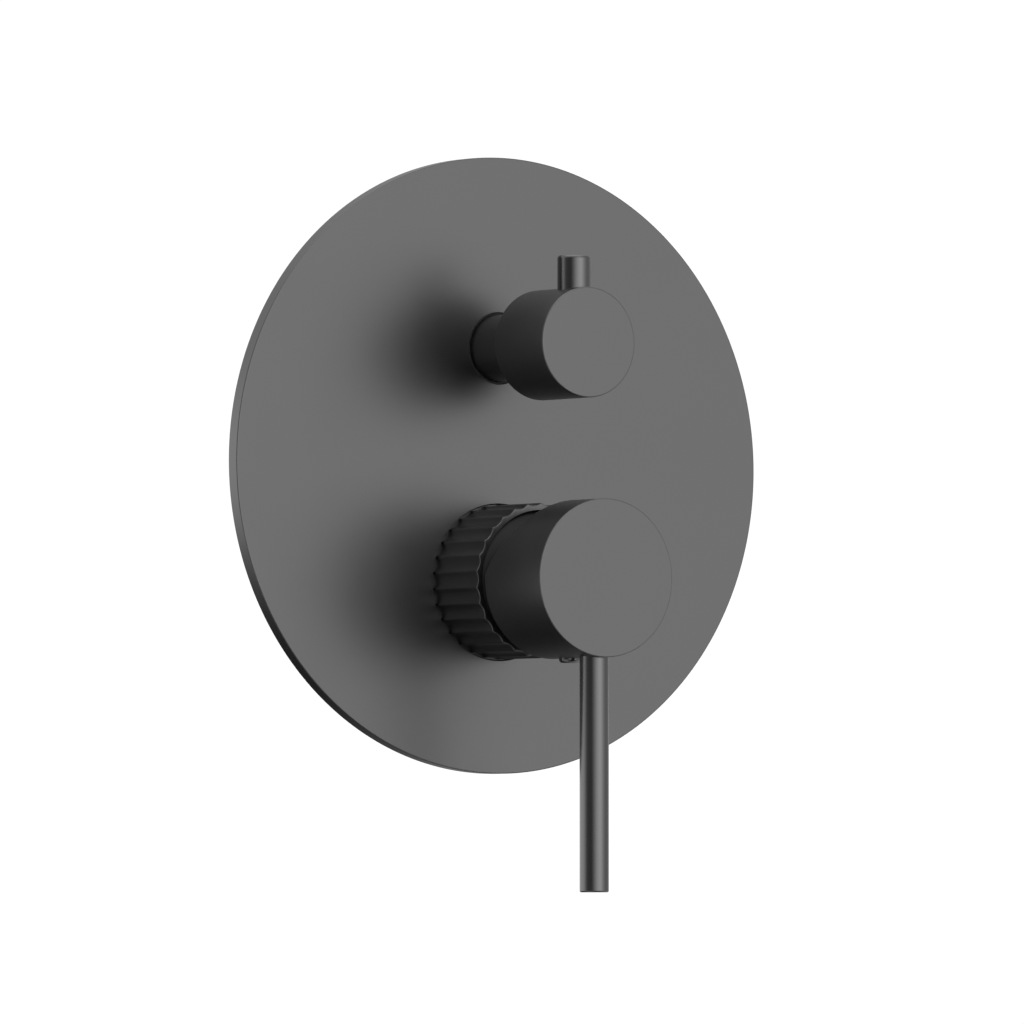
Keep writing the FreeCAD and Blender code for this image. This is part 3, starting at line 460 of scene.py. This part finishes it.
def radius_of(node: str) -> float:
    """Half the width of a node's box in millimetres, which is the radius of a round one."""
    low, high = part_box(node)
    return (high.x - low.x) / 2 / MM


def middle_of(node: str) -> Vector:
    """The middle of a node's box, in metres."""
    low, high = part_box(node)
    return (low + high) / 2


def place_piece(piece: bpy.types.Object, material: bpy.types.Material, body: str, slot: str,
                *nodes: str) -> None:
    """Give a piece its material, its body and the nodes that it stands for.

    Args:
        piece: the finished piece.
        material: its material.
        body: the body that it moves with.
        slot: the record's material slot; not used.
        nodes: the nodes that it stands for.
    """
    piece.data.materials.clear()
    piece.data.materials.append(material)
    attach(piece, body)
    if nodes:
        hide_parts(*nodes)
    LOG.info("%s: %d faces on %s", piece.name, len(piece.data.polygons), body)


@dataclass
class WallPlate:
    """The round plate with its rounded rim and its two holes, in millimetres."""

    rim_round: float = 0.3
    back_round: float = 0.2
    hole_bevel: float = 0.12
    cutter_overlap: float = 1.0
    segments: int = 384
    hole_segments: int = 128
    sleeve_gap: float = 0.3
    collar_gap: float = 0.7
    gasket_inner_radius: float = 76.0
    gasket_width: float = 7.0
    gasket_depth: float = 1.6

    def build(self, finish: bpy.types.Material) -> None:
        """Make the plate and cut its holes.

        Args:
            finish: the plate's material.
        """
        low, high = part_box("wall_plate")
        radius = radius_of("wall_plate")
        thickness = (high.y - low.y) / MM
        outer = self.gasket_inner_radius + self.gasket_width
        plate = lathe("plate", [
            Corner(0, 0),
            Corner(self.gasket_inner_radius, 0),
            Corner(self.gasket_inner_radius, self.gasket_depth),
            Corner(outer, self.gasket_depth),
            Corner(outer, 0),
            Corner(radius, 0, self.back_round),
            Corner(radius, thickness, self.rim_round),
            Corner(0, thickness),
        ], Axis.OUT, Vector((0, high.y, 0)), self.segments)
        for node, gap in (("fluted_sleeve", self.sleeve_gap), ("diverter_collar", self.collar_gap)):
            cut_away(plate, self.hole_cutter(node, gap, thickness))
        place_piece(plate, finish, "root", "gunmetal", "wall_plate")

    def hole_cutter(self, node: str, gap: float, thickness: float) -> bpy.types.Object:
        """A round cutter with a flared mouth, about the piece that passes through the hole."""
        hole = radius_of(node) + gap
        middle = middle_of(node)
        past = self.cutter_overlap
        return lathe("hole_cutter", [
            Corner(0, -past),
            Corner(hole, -past),
            Corner(hole, thickness - self.hole_bevel),
            Corner(hole + self.hole_bevel + past, thickness + past),
            Corner(0, thickness + past),
        ], Axis.OUT, Vector((middle.x, 0, middle.z)), self.hole_segments)


@dataclass
class FlutedSleeve:
    """The sleeve with its scalloped flutes, in millimetres."""

    wall: float = 1.6
    flute_count: int = 30
    flute_depth: float = 0.75
    cutter_radius: float = 4.2
    flute_start: float = 3.7
    front_round: float = 0.25
    round_steps: int = 4
    lip_width: float = 0.6
    lip_depth: float = 1.0
    lip_bevel: float = 0.1
    groove_back: float = 0.7
    groove_front: float = 2.0
    groove_depth: float = 1.0
    steps_per_flute: int = 18
    ridge_softness: float = 0.3
    ridge_samples: int = 7
    rings_along: int = 4

    def build(self, finish: bpy.types.Material) -> None:
        """Make the sleeve from rings whose radius follows the flutes.

        Args:
            finish: the sleeve's material.
        """
        low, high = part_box("fluted_sleeve")
        radius = radius_of("fluted_sleeve")
        front, back = -low.y / MM, -high.y / MM
        bore = radius - self.wall
        middle = middle_of("fluted_sleeve")
        centre = Vector((middle.x, 0, middle.z))
        angles = self.angles(radius)
        plain = [radius] * len(angles)
        fluted = [self.softened_radius(radius, angle) for angle in angles]
        groove = [radius - self.groove_depth] * len(angles)
        inner = [bore] * len(angles)
        rings = [
            (inner, back), (plain, back), (plain, self.groove_back), (groove, self.groove_back),
            (groove, self.groove_front), (plain, self.groove_front), (plain, self.flute_start),
            (fluted, self.flute_start),
        ]
        length = front - self.front_round - self.flute_start
        rings += [(fluted, self.flute_start + length * step / self.rings_along)
                  for step in range(1, self.rings_along + 1)]
        for step in range(1, self.round_steps + 1):
            turn = math.pi / 2 * step / self.round_steps
            inset = self.front_round * (1 - math.cos(turn))
            along = front - self.front_round * (1 - math.sin(turn))
            rings.append(([value - inset for value in fluted], along))
        lip = bore - self.lip_width
        rings += [
            ([lip + self.lip_bevel] * len(angles), front),
            ([lip] * len(angles), front - self.lip_bevel),
            ([lip] * len(angles), front - self.lip_depth),
            (inner, front - self.lip_depth),
        ]
        mesh = bmesh.new()
        loops = [[mesh.verts.new(spot(Axis.OUT, centre, value, angle, along))
                  for value, angle in zip(radii, angles)] for radii, along in rings]
        for first, second in zip(loops, loops[1:] + loops[:1]):
            bridge(mesh, first, second)
        sleeve = mesh_object("sleeve", mesh, SLEEVE_SMOOTH_UNDER_DEGREES)
        place_piece(sleeve, finish, "root", "gunmetal", "fluted_sleeve")

    def half_flute(self, radius: float) -> float:
        """The angle from a flute's middle to its edge, in radians."""
        middle = radius - self.flute_depth + self.cutter_radius
        cosine = (middle ** 2 + radius ** 2 - self.cutter_radius ** 2) / (2 * middle * radius)
        return math.acos(cosine)

    def angles(self, radius: float) -> list[float]:
        """Where the rings have points: closely over each flute, and at the two edges of each ridge."""
        half = self.half_flute(radius)
        pitch = math.tau / self.flute_count
        return [pitch * flute - half + 2 * half * step / self.steps_per_flute
                for flute in range(self.flute_count) for step in range(self.steps_per_flute + 1)]

    def softened_radius(self, radius: float, angle: float) -> float:
        """The fluted radius averaged over a short arc, which rounds the ridges."""
        reach = self.ridge_softness / radius
        last = self.ridge_samples - 1
        offsets = [reach * (2 * sample / last - 1) for sample in range(self.ridge_samples)]
        return sum(self.fluted_radius(radius, angle + offset) for offset in offsets) / self.ridge_samples

    def fluted_radius(self, radius: float, angle: float) -> float:
        """The sleeve's outer radius at an angle."""
        pitch = math.tau / self.flute_count
        offset = (angle + pitch / 2) % pitch - pitch / 2
        middle = radius - self.flute_depth + self.cutter_radius
        inside = self.cutter_radius ** 2 - (middle * math.sin(offset)) ** 2
        if inside <= 0:
            return radius
        return min(radius, middle * math.cos(offset) - math.sqrt(inside))


@dataclass
class HandleCap:
    """The handle cap with its sloping back, its lever and its button, in millimetres."""

    edge_round: float = 0.3
    slope_round: float = 0.5
    wall: float = 2.6
    hollow_depth: float = 5.4
    hub_radius: float = 9.5
    hub_recess: float = 1.9
    relief_base: float = 1.5
    relief_depth: float = 13.9
    centre_ring: float = 0.5
    edge_band: float = 1.0
    side_band: float = 2.0
    steps_per_half: int = 128
    lever_edge_round: float = 0.45
    lever_seat_round: float = 0.2
    lever_seat: float = 17.5
    lever_segments: int = 96
    button_round: float = 1.0
    button_seat_round: float = 0.1
    button_segments: int = 64

    def build(self, finish: bpy.types.Material, pin_finish: bpy.types.Material) -> None:
        """Make the cap, the lever and the button.

        Args:
            finish: the cap's material.
            pin_finish: the material of the lever and the button.
        """
        place_piece(self.cap(), finish, "handle", "gunmetal", "handle_cap")
        place_piece(self.lever(), pin_finish, "handle", "gunmetal", "pin_lever")
        place_piece(self.button(), pin_finish, "handle", "gunmetal", "index_button")

    def ring_angles(self, radius: float) -> list[float]:
        """Angles of a ring, with a point on each side where the slope starts."""
        first = math.asin(min(1.0, self.relief_base / radius))
        last = math.pi - first
        spans = ((first, last - first), (last, math.tau - (last - first)))
        return [start + span * step / self.steps_per_half for start, span in spans
                for step in range(self.steps_per_half)]

    def cap(self) -> bpy.types.Object:
        """The cap: a turned block whose upper back is cut at a slope.

        Returns:
            The cap's object.
        """
        low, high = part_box("handle_cap")
        radius = radius_of("handle_cap")
        front, back = -low.y / MM, -high.y / MM
        centre = Vector((middle_of("handle_cap").x, 0, low.z + radius * MM))
        slope = self.relief_depth / (radius - self.relief_base)
        hollow = radius - self.wall
        floor = back + self.hollow_depth
        hub_back = back + self.hub_recess
        edge = self.edge_round
        recess = rounded_outline([
            Corner(self.centre_ring, hub_back),
            Corner(self.hub_radius, hub_back, edge),
            Corner(self.hub_radius, floor),
            Corner(hollow, floor),
            Corner(hollow, back, edge / 2),
            Corner(radius - self.edge_band, back),
        ])
        rim = rounded_outline([
            Corner(radius - self.edge_band, back),
            Corner(radius, back, self.slope_round),
            Corner(radius, back + self.side_band),
        ])[1:]
        face = rounded_outline([
            Corner(radius, front - self.side_band),
            Corner(radius, front, edge),
            Corner(0, front),
        ])
        mesh = bmesh.new()
        loops = []
        for points, follows in ((recess, 0.0), (rim, 1.0)):
            for value, along in points:
                angles = self.ring_angles(value)
                planes = [back + slope * (value * math.sin(angle) - self.relief_base) for angle in angles]
                heights = [max(along, plane + (along - back) * follows) for plane in planes]
                loops.append([mesh.verts.new(spot(Axis.OUT, centre, value, angle, height))
                              for angle, height in zip(angles, heights)])
        for value, along in face:
            if value < ON_AXIS_MM:
                loops.append([mesh.verts.new(spot(Axis.OUT, centre, 0, 0, along))])
            else:
                loops.append([mesh.verts.new(spot(Axis.OUT, centre, value, angle, along))
                              for angle in self.ring_angles(value)])
        for first, second in zip(loops, loops[1:]):
            bridge(mesh, first, second)
        mesh.faces.new(loops[0])
        return mesh_object("cap", mesh)

    def lever(self) -> bpy.types.Object:
        """The pin lever: a straight rod with a softened end.

        Returns:
            The lever's object.
        """
        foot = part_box("pin_lever")[0].z / MM
        middle = middle_of("pin_lever")
        radius = radius_of("pin_lever")
        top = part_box("handle_cap")[0].z / MM + radius_of("handle_cap") - self.lever_seat
        return lathe("lever", [
            Corner(0, top),
            Corner(radius, top, self.lever_seat_round),
            Corner(radius, foot, self.lever_edge_round),
            Corner(0, foot),
        ], Axis.UP, Vector((middle.x, middle.y, 0)), self.lever_segments)

    def button(self) -> bpy.types.Object:
        """The index button under the cap.

        Returns:
            The button's object.
        """
        foot, top = (corner.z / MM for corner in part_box("index_button"))
        middle = middle_of("index_button")
        radius = radius_of("index_button")
        return lathe("button", [
            Corner(0, top),
            Corner(radius, top, self.button_seat_round),
            Corner(radius, foot, self.button_round),
            Corner(0, foot),
        ], Axis.UP, Vector((middle.x, middle.y, 0)), self.button_segments)


@dataclass
class CartridgeCover:
    """The domed cover in the gap behind the cap, in millimetres."""

    dome_radius: float = 41.7
    hole_radius: float = 10.6
    thickness: float = 1.2
    shoulder_front: float = 25.6
    skirt_wall: float = 0.8
    dome_steps: int = 14
    segments: int = 160

    def build(self, finish: bpy.types.Material) -> None:
        """Make the cover.

        Args:
            finish: its material, a darker copy of the gunmetal that is painted shade of the gap behind the
                cap.
        """
        low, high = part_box("cartridge_cover")
        radius = radius_of("cartridge_cover")
        inner = radius - self.skirt_wall
        front, back = -low.y / MM, -high.y / MM
        middle = middle_of("cartridge_cover")
        outside = self.dome((radius, self.shoulder_front), (self.hole_radius, front))
        inside = self.dome((inner, self.shoulder_front - self.thickness),
                           (self.hole_radius, front - self.thickness))
        points = [(radius, back), *outside, *reversed(inside), (inner, back)]
        cover = turned_object("cover", points, Axis.OUT, Vector((middle.x, 0, middle.z)), self.segments, True)
        place_piece(cover, finish, "root", "cover_gunmetal", "cartridge_cover")

    def dome(self, shoulder: Point, hole: Point) -> list[Point]:
        """Points of a round arc from the shoulder to the hole.

        Args:
            shoulder: radius and distance out of the wall where the dome starts.
            hole: the same at the edge of the hole.

        Returns:
            Pairs of radius and distance out of the wall.
        """
        start, end = Vector(shoulder), Vector(hole)
        chord = end - start
        depth = math.sqrt(self.dome_radius ** 2 - (chord.length / 2) ** 2)
        normal = Vector((-chord.y, chord.x)).normalized()
        middle = (start + end) / 2 + normal * depth
        if middle.y > start.y:
            middle = (start + end) / 2 - normal * depth
        first = math.atan2(start.y - middle.y, start.x - middle.x)
        last = math.atan2(end.y - middle.y, end.x - middle.x)
        angles = [first + (last - first) * step / self.dome_steps for step in range(self.dome_steps + 1)]
        return [(middle.x + self.dome_radius * math.cos(angle), middle.y + self.dome_radius * math.sin(angle))
                for angle in angles]


@dataclass
class Diverter:
    """The diverter's collar with its seal ring, its knob and its pin, in millimetres."""

    collar_wall: float = 1.6
    collar_round: float = 0.2
    knob_round: float = 0.35
    pin_round: float = 0.8
    pin_seat_round: float = 0.1
    pin_seat: float = 14.5
    seal_front: float = 4.2
    seal_round: float = 0.3
    seal_back_round: float = 0.05
    collar_segments: int = 128
    knob_segments: int = 192
    pin_segments: int = 96

    def build(self, finish: bpy.types.Material, pin_finish: bpy.types.Material,
              rubber: bpy.types.Material) -> None:
        """Make the collar, the knob, the pin and the seal round the collar.

        Args:
            finish: the material of the collar and the knob.
            pin_finish: the pin's material.
            rubber: the seal's material.
        """
        front, back = (-corner.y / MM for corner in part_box("diverter_collar"))
        radius = radius_of("diverter_collar")
        centre = Vector((0, 0, middle_of("diverter_collar").z))
        collar = lathe("collar", [
            Corner(radius - self.collar_wall, back),
            Corner(radius, back, self.collar_round),
            Corner(radius, front, self.collar_round),
            Corner(radius - self.collar_wall, front),
        ], Axis.OUT, centre, self.collar_segments, closed=True)
        place_piece(collar, finish, "root", "gunmetal", "diverter_collar")
        place_piece(self.knob(centre), finish, "knob", "gunmetal", "diverter_knob")
        place_piece(self.pin(centre), pin_finish, "knob", "gunmetal", "diverter_pin")
        place_piece(self.seal(centre, radius), rubber, "root", "rubber", "collar_seal")

    def seal(self, centre: Vector, collar_radius: float) -> bpy.types.Object:
        """The seal between the collar and the plate's hole, with its rounded lip to the front."""
        back = -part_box("collar_seal")[1].y / MM
        outer = radius_of("collar_seal")
        return lathe("collar_ring", [
            Corner(collar_radius, back, self.seal_back_round),
            Corner(outer, back, self.seal_back_round),
            Corner(outer, self.seal_front, self.seal_round),
            Corner(collar_radius, self.seal_front, self.seal_round),
        ], Axis.OUT, centre, self.collar_segments, closed=True)

    def knob(self, centre: Vector) -> bpy.types.Object:
        """The round knob with softened edges, about the diverter's axis."""
        front, back = (-corner.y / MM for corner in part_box("diverter_knob"))
        radius = radius_of("diverter_knob")
        return lathe("knob", [
            Corner(0, back),
            Corner(radius, back, self.knob_round),
            Corner(radius, front, self.knob_round),
            Corner(0, front),
        ], Axis.OUT, centre, self.knob_segments)

    def pin(self, centre: Vector) -> bpy.types.Object:
        """The pin that stands on the knob, from its seat to its rounded top."""
        foot = centre.z / MM + self.pin_seat
        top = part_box("diverter_pin")[1].z / MM
        radius = radius_of("diverter_pin")
        return lathe("pin", [
            Corner(0, foot),
            Corner(radius, foot, self.pin_seat_round),
            Corner(radius, top, self.pin_round),
            Corner(0, top),
        ], Axis.UP, Vector((centre.x, middle_of("diverter_pin").y, 0)), self.pin_segments)


@dataclass
class Studio:
    """The camera, the pale floor and the soft light round the mixer.

    Each ring of light holds pairs of degrees to the right of the front, and brightness. One ring fades into
    the next between two sines of the height above the horizon.
    """

    view_azimuth: float = -33.04
    view_elevation: float = -1.88
    distance_mm: float = 3505.1
    target_mm: tuple[float, float, float] = (4.53, -4.5, -13.51)
    lens_mm: float = 421.9
    sensor_mm: float = 36.0
    clip_end_m: float = 50.0
    floor_height_m: float = -3.0
    floor_half_width_m: float = 40.0
    floor_colour: str = "#F2F2F0"
    floor_roughness: float = 0.9
    brightest: float = 3.0
    backdrop_brightness: float = 1.05
    matt_fill: float = 0.6
    low_ring: Stops = (
        (-180, 0.02), (-145, 0.02), (-116, 0.4), (-95, 0.55), (-60, 0.45), (-36, 0.1), (0, 0.08), (30, 0.12),
        (55, 0.42), (90, 0.6), (130, 0.5), (155, 0.15), (180, 0.02))
    middle_ring: Stops = (
        (-180, 1.0), (-130, 1.1), (-110, 0.65), (-94, 0.12), (-52, 0.06), (-36, 0.45), (-14, 1.12), (6, 1.55),
        (20, 1.56), (38, 0.93), (60, 0.45), (100, 0.4), (135, 0.75), (180, 1.0))
    high_ring: Stops = (
        (-180, 0.6), (-110, 0.55), (-75, 0.35), (-40, 0.2), (-14, 0.5), (6, 0.66), (20, 0.7), (40, 0.5),
        (100, 0.4), (180, 0.6))
    top_light: Stops = ((-180, 1.2), (180, 1.2))
    low_to_middle: tuple[float, float] = (-0.42, -0.05)
    middle_to_high: tuple[float, float] = (0.08, 0.45)
    high_to_top: tuple[float, float] = (0.7, 0.92)

    def build(self) -> None:
        """Make the camera, the floor and the light."""
        self.camera()
        self.floor()
        self.light()

    def camera(self) -> None:
        """Put the camera where the photograph was taken from."""
        azimuth, elevation = math.radians(self.view_azimuth), math.radians(self.view_elevation)
        back = Vector((math.sin(azimuth) * math.cos(elevation), -math.cos(azimuth) * math.cos(elevation),
                       math.sin(elevation)))
        data = bpy.data.cameras.new("camera")
        data.lens = self.lens_mm
        data.sensor_width = self.sensor_mm
        data.clip_end = self.clip_end_m
        camera = bpy.data.objects.new("camera", data)
        camera.location = Vector(self.target_mm) * MM + back * self.distance_mm * MM
        camera.rotation_mode = "QUATERNION"
        camera.rotation_quaternion = (-back).to_track_quat("-Z", "Y")
        bpy.context.scene.collection.objects.link(camera)
        bpy.context.scene.camera = camera

    def floor(self) -> None:
        """Lay a plain pale floor well below the mixer, which the metal doesn't mirror."""
        half = self.floor_half_width_m
        mesh = bmesh.new()
        corners = [(-half, -half), (half, -half), (half, half), (-half, half)]
        mesh.faces.new([mesh.verts.new((x, y, self.floor_height_m)) for x, y in corners])
        floor = mesh_object("floor", mesh)
        material, tree, _ = new_material("matt_floor_paint")
        finish_material(tree, {"Base Color": linear(self.floor_colour), "Roughness": self.floor_roughness})
        floor.data.materials.append(material)
        floor.visible_glossy = False

    def light(self) -> None:
        """Light the mixer with a white dome made of three rings of light and a bright top.

        The camera sees an even white behind the mixer, and matt surfaces get more light than metal does.
        """
        bpy.context.scene.view_settings.view_transform = "Standard"
        world = bpy.data.worlds.new("studio")
        bpy.context.scene.world = world
        world.use_nodes = True
        tree = world.node_tree
        tree.nodes.clear()
        direction = add_node(tree, "ShaderNodeTexCoord").outputs["Generated"]
        parts = add_node(tree, "ShaderNodeSeparateXYZ", inputs={0: direction})
        forward = add_node(tree, "ShaderNodeMath", {"operation": "MULTIPLY"},
                           {0: parts.outputs["Y"], 1: -1.0})
        azimuth = add_node(tree, "ShaderNodeMath", {"operation": "ARCTAN2"},
                           {0: parts.outputs["X"], 1: forward.outputs[0]})
        turn = add_node(tree, "ShaderNodeMapRange", inputs={
            "Value": azimuth.outputs[0], "From Min": -math.pi, "From Max": math.pi}).outputs["Result"]
        level = self.ring(tree, turn, self.low_ring)
        rings = (
            (self.low_to_middle, self.middle_ring),
            (self.middle_to_high, self.high_ring),
            (self.high_to_top, self.top_light),
        )
        for (start, end), stops in rings:
            share = add_node(tree, "ShaderNodeMapRange", {"interpolation_type": "SMOOTHSTEP"}, {
                "Value": parts.outputs["Z"], "From Min": start, "From Max": end}).outputs["Result"]
            level = add_node(tree, "ShaderNodeMix", {"data_type": "FLOAT"}, {
                MIX_SHARE: share, MIX_FIRST_NUMBER: level,
                MIX_SECOND_NUMBER: self.ring(tree, turn, stops)}).outputs[MIX_NUMBER_RESULT]
        path = add_node(tree, "ShaderNodeLightPath")
        fill = add_node(tree, "ShaderNodeMath", {"operation": "MULTIPLY_ADD"}, {
            0: path.outputs["Is Diffuse Ray"], 1: self.matt_fill, 2: 1.0})
        strength = add_node(tree, "ShaderNodeMath", {"operation": "MULTIPLY"}, {0: level, 1: fill.outputs[0]})
        dome = add_node(tree, "ShaderNodeBackground", inputs={
            "Color": WHITE, "Strength": strength.outputs[0]})
        backdrop = add_node(tree, "ShaderNodeBackground", inputs={
            "Color": WHITE, "Strength": self.backdrop_brightness})
        mix = add_node(tree, "ShaderNodeMixShader", inputs={
            0: path.outputs["Is Camera Ray"], 1: dome.outputs[0], 2: backdrop.outputs[0]})
        add_node(tree, "ShaderNodeOutputWorld", inputs={"Surface": mix.outputs[0]})

    def ring(self, tree: bpy.types.NodeTree, turn: bpy.types.NodeSocket,
             stops: Stops) -> bpy.types.NodeSocket:
        """The brightness round one ring of the dome.

        Args:
            tree: the world's node tree.
            turn: the place round the ring, from 0 to 1.
            stops: pairs of degrees to the right of the front, and brightness.

        Returns:
            The brightness socket.
        """
        ramp = add_node(tree, "ShaderNodeValToRGB", inputs={0: turn})
        elements = ramp.color_ramp.elements
        while len(elements) < len(stops):
            elements.new(0.5)
        for element, (degrees, brightness) in zip(elements, stops):
            element.position = (degrees + HALF_TURN_DEGREES) / (2 * HALF_TURN_DEGREES)
            element.color = (*[brightness / self.brightest] * 3, 1)
        return add_node(tree, "ShaderNodeMath", {"operation": "MULTIPLY"},
                        {0: ramp.outputs["Color"], 1: self.brightest}).outputs[0]


SOLID_FINISHES: dict[str, Callable[[], bpy.types.Material]] = {
    # Cast and machined brass: warm, with a fine foundry grain that scatters its gloss.
    "brass": MetalStock(
        "cast_brass", light="#D9BE7C", dark="#C2A461",
        roughness=0.34, cloud_mm=14.0, grain_mm=0.5, grain_depth_mm=0.012).build,
    # Zinc plated and stainless steel: pale grey, rolled, with a soft sheen.
    "steel": MetalStock(
        "zinc_plated_steel", light="#C9CBCE", dark="#B4B7BA",
        roughness=0.32, cloud_mm=18.0, grain_mm=0.25, grain_depth_mm=0.004).build,
    # Nitrile rubber: black and dull, with hardly a highlight.
    "rubber": MouldedStock(
        "nitrile_rubber", light="#1B1B1C", dark="#141414",
        roughness=0.62, ior=1.52, cloud_mm=4.0, grain_mm=0.3, grain_depth_mm=0.006).build,
    # Grey silicone: a little lighter than the rubber and as dull.
    "silicone": MouldedStock(
        "grey_silicone", light="#4F4F50", dark="#464647",
        roughness=0.55, ior=1.43, cloud_mm=4.0, grain_mm=0.3, grain_depth_mm=0.004).build,
    # Pressed red fibre: dull, with visible mottling from its pulp.
    "fibre": MouldedStock(
        "pressed_fibre", light="#8C3A2C", dark="#74281E",
        roughness=0.75, ior=1.45, cloud_mm=1.2, grain_mm=0.25, grain_depth_mm=0.012).build,
    # Lapped alumina: off-white and very smooth.
    "ceramic": MouldedStock(
        "alumina_ceramic", light="#F0ECE2", dark="#E6E1D4",
        roughness=0.18, ior=1.76, cloud_mm=3.0, grain_mm=0.2, grain_depth_mm=0.001).build,
    # Moulded acetal: white and waxy.
    "cartridge_plastic": MouldedStock(
        "moulded_acetal_white", light="#E4E3DC", dark="#DAD8CF",
        roughness=0.42, ior=1.48, cloud_mm=6.0, grain_mm=0.2, grain_depth_mm=0.003).build,
    # Moulded dark acetal: nearly black and waxy.
    "guide_plastic": MouldedStock(
        "moulded_acetal_dark", light="#2A2B2D", dark="#232426",
        roughness=0.4, ior=1.48, cloud_mm=6.0, grain_mm=0.2, grain_depth_mm=0.003).build,
    # Closed-cell foam: dark, with small open bubbles at its cut face.
    "foam": MouldedStock(
        "closed_cell_foam", light="#2E2E2F", dark="#222223",
        roughness=0.85, ior=1.4, cloud_mm=2.0, grain_mm=0.6, grain_depth_mm=0.08).build,
    # Moulded blue acetal of the check valves.
    "valve_plastic": MouldedStock(
        "moulded_acetal_blue", light="#3C62A8", dark="#34569A",
        roughness=0.42, ior=1.48, cloud_mm=6.0, grain_mm=0.2, grain_depth_mm=0.003).build,
}


def dress_nodes(finishes: dict[str, bpy.types.Material]) -> None:
    """Give every node its slot's material.

    Args:
        finishes: the material of each slot.
    """
    for entry in frame["record"]["subparts"]:
        node = frame["nodes"][entry["node"]]
        node.data.materials.clear()
        node.data.materials.append(finishes[entry["material_slot"]])


def main() -> None:
    """Build the studio and every sub-assembly; each piece logs its face count."""
    logging.basicConfig(level=logging.INFO, format="%(name)s: %(message)s")
    Studio().build()
    gunmetal = SatinGunmetal().build()
    fine_gunmetal = SatinGunmetal("fine_satin_gunmetal", roughness=0.27).build()
    # A darker copy of the gunmetal for the cartridge cover: painted shade of the gap behind the cap, where
    # the cover sits.
    painted_shade_gunmetal = SatinGunmetal(
        "painted_shade_satin_gunmetal", light="#474748", dark="#434344", roughness=0.42).build()
    finishes = {slot: make() for slot, make in SOLID_FINISHES.items()}
    finishes["gunmetal"] = gunmetal
    finishes["cover_gunmetal"] = painted_shade_gunmetal
    dress_nodes(finishes)
    WallPlate().build(gunmetal)
    FlutedSleeve().build(gunmetal)
    HandleCap().build(gunmetal, fine_gunmetal)
    CartridgeCover().build(painted_shade_gunmetal)
    Diverter().build(gunmetal, fine_gunmetal, finishes["silicone"])


if __name__ == "__main__":
    main()
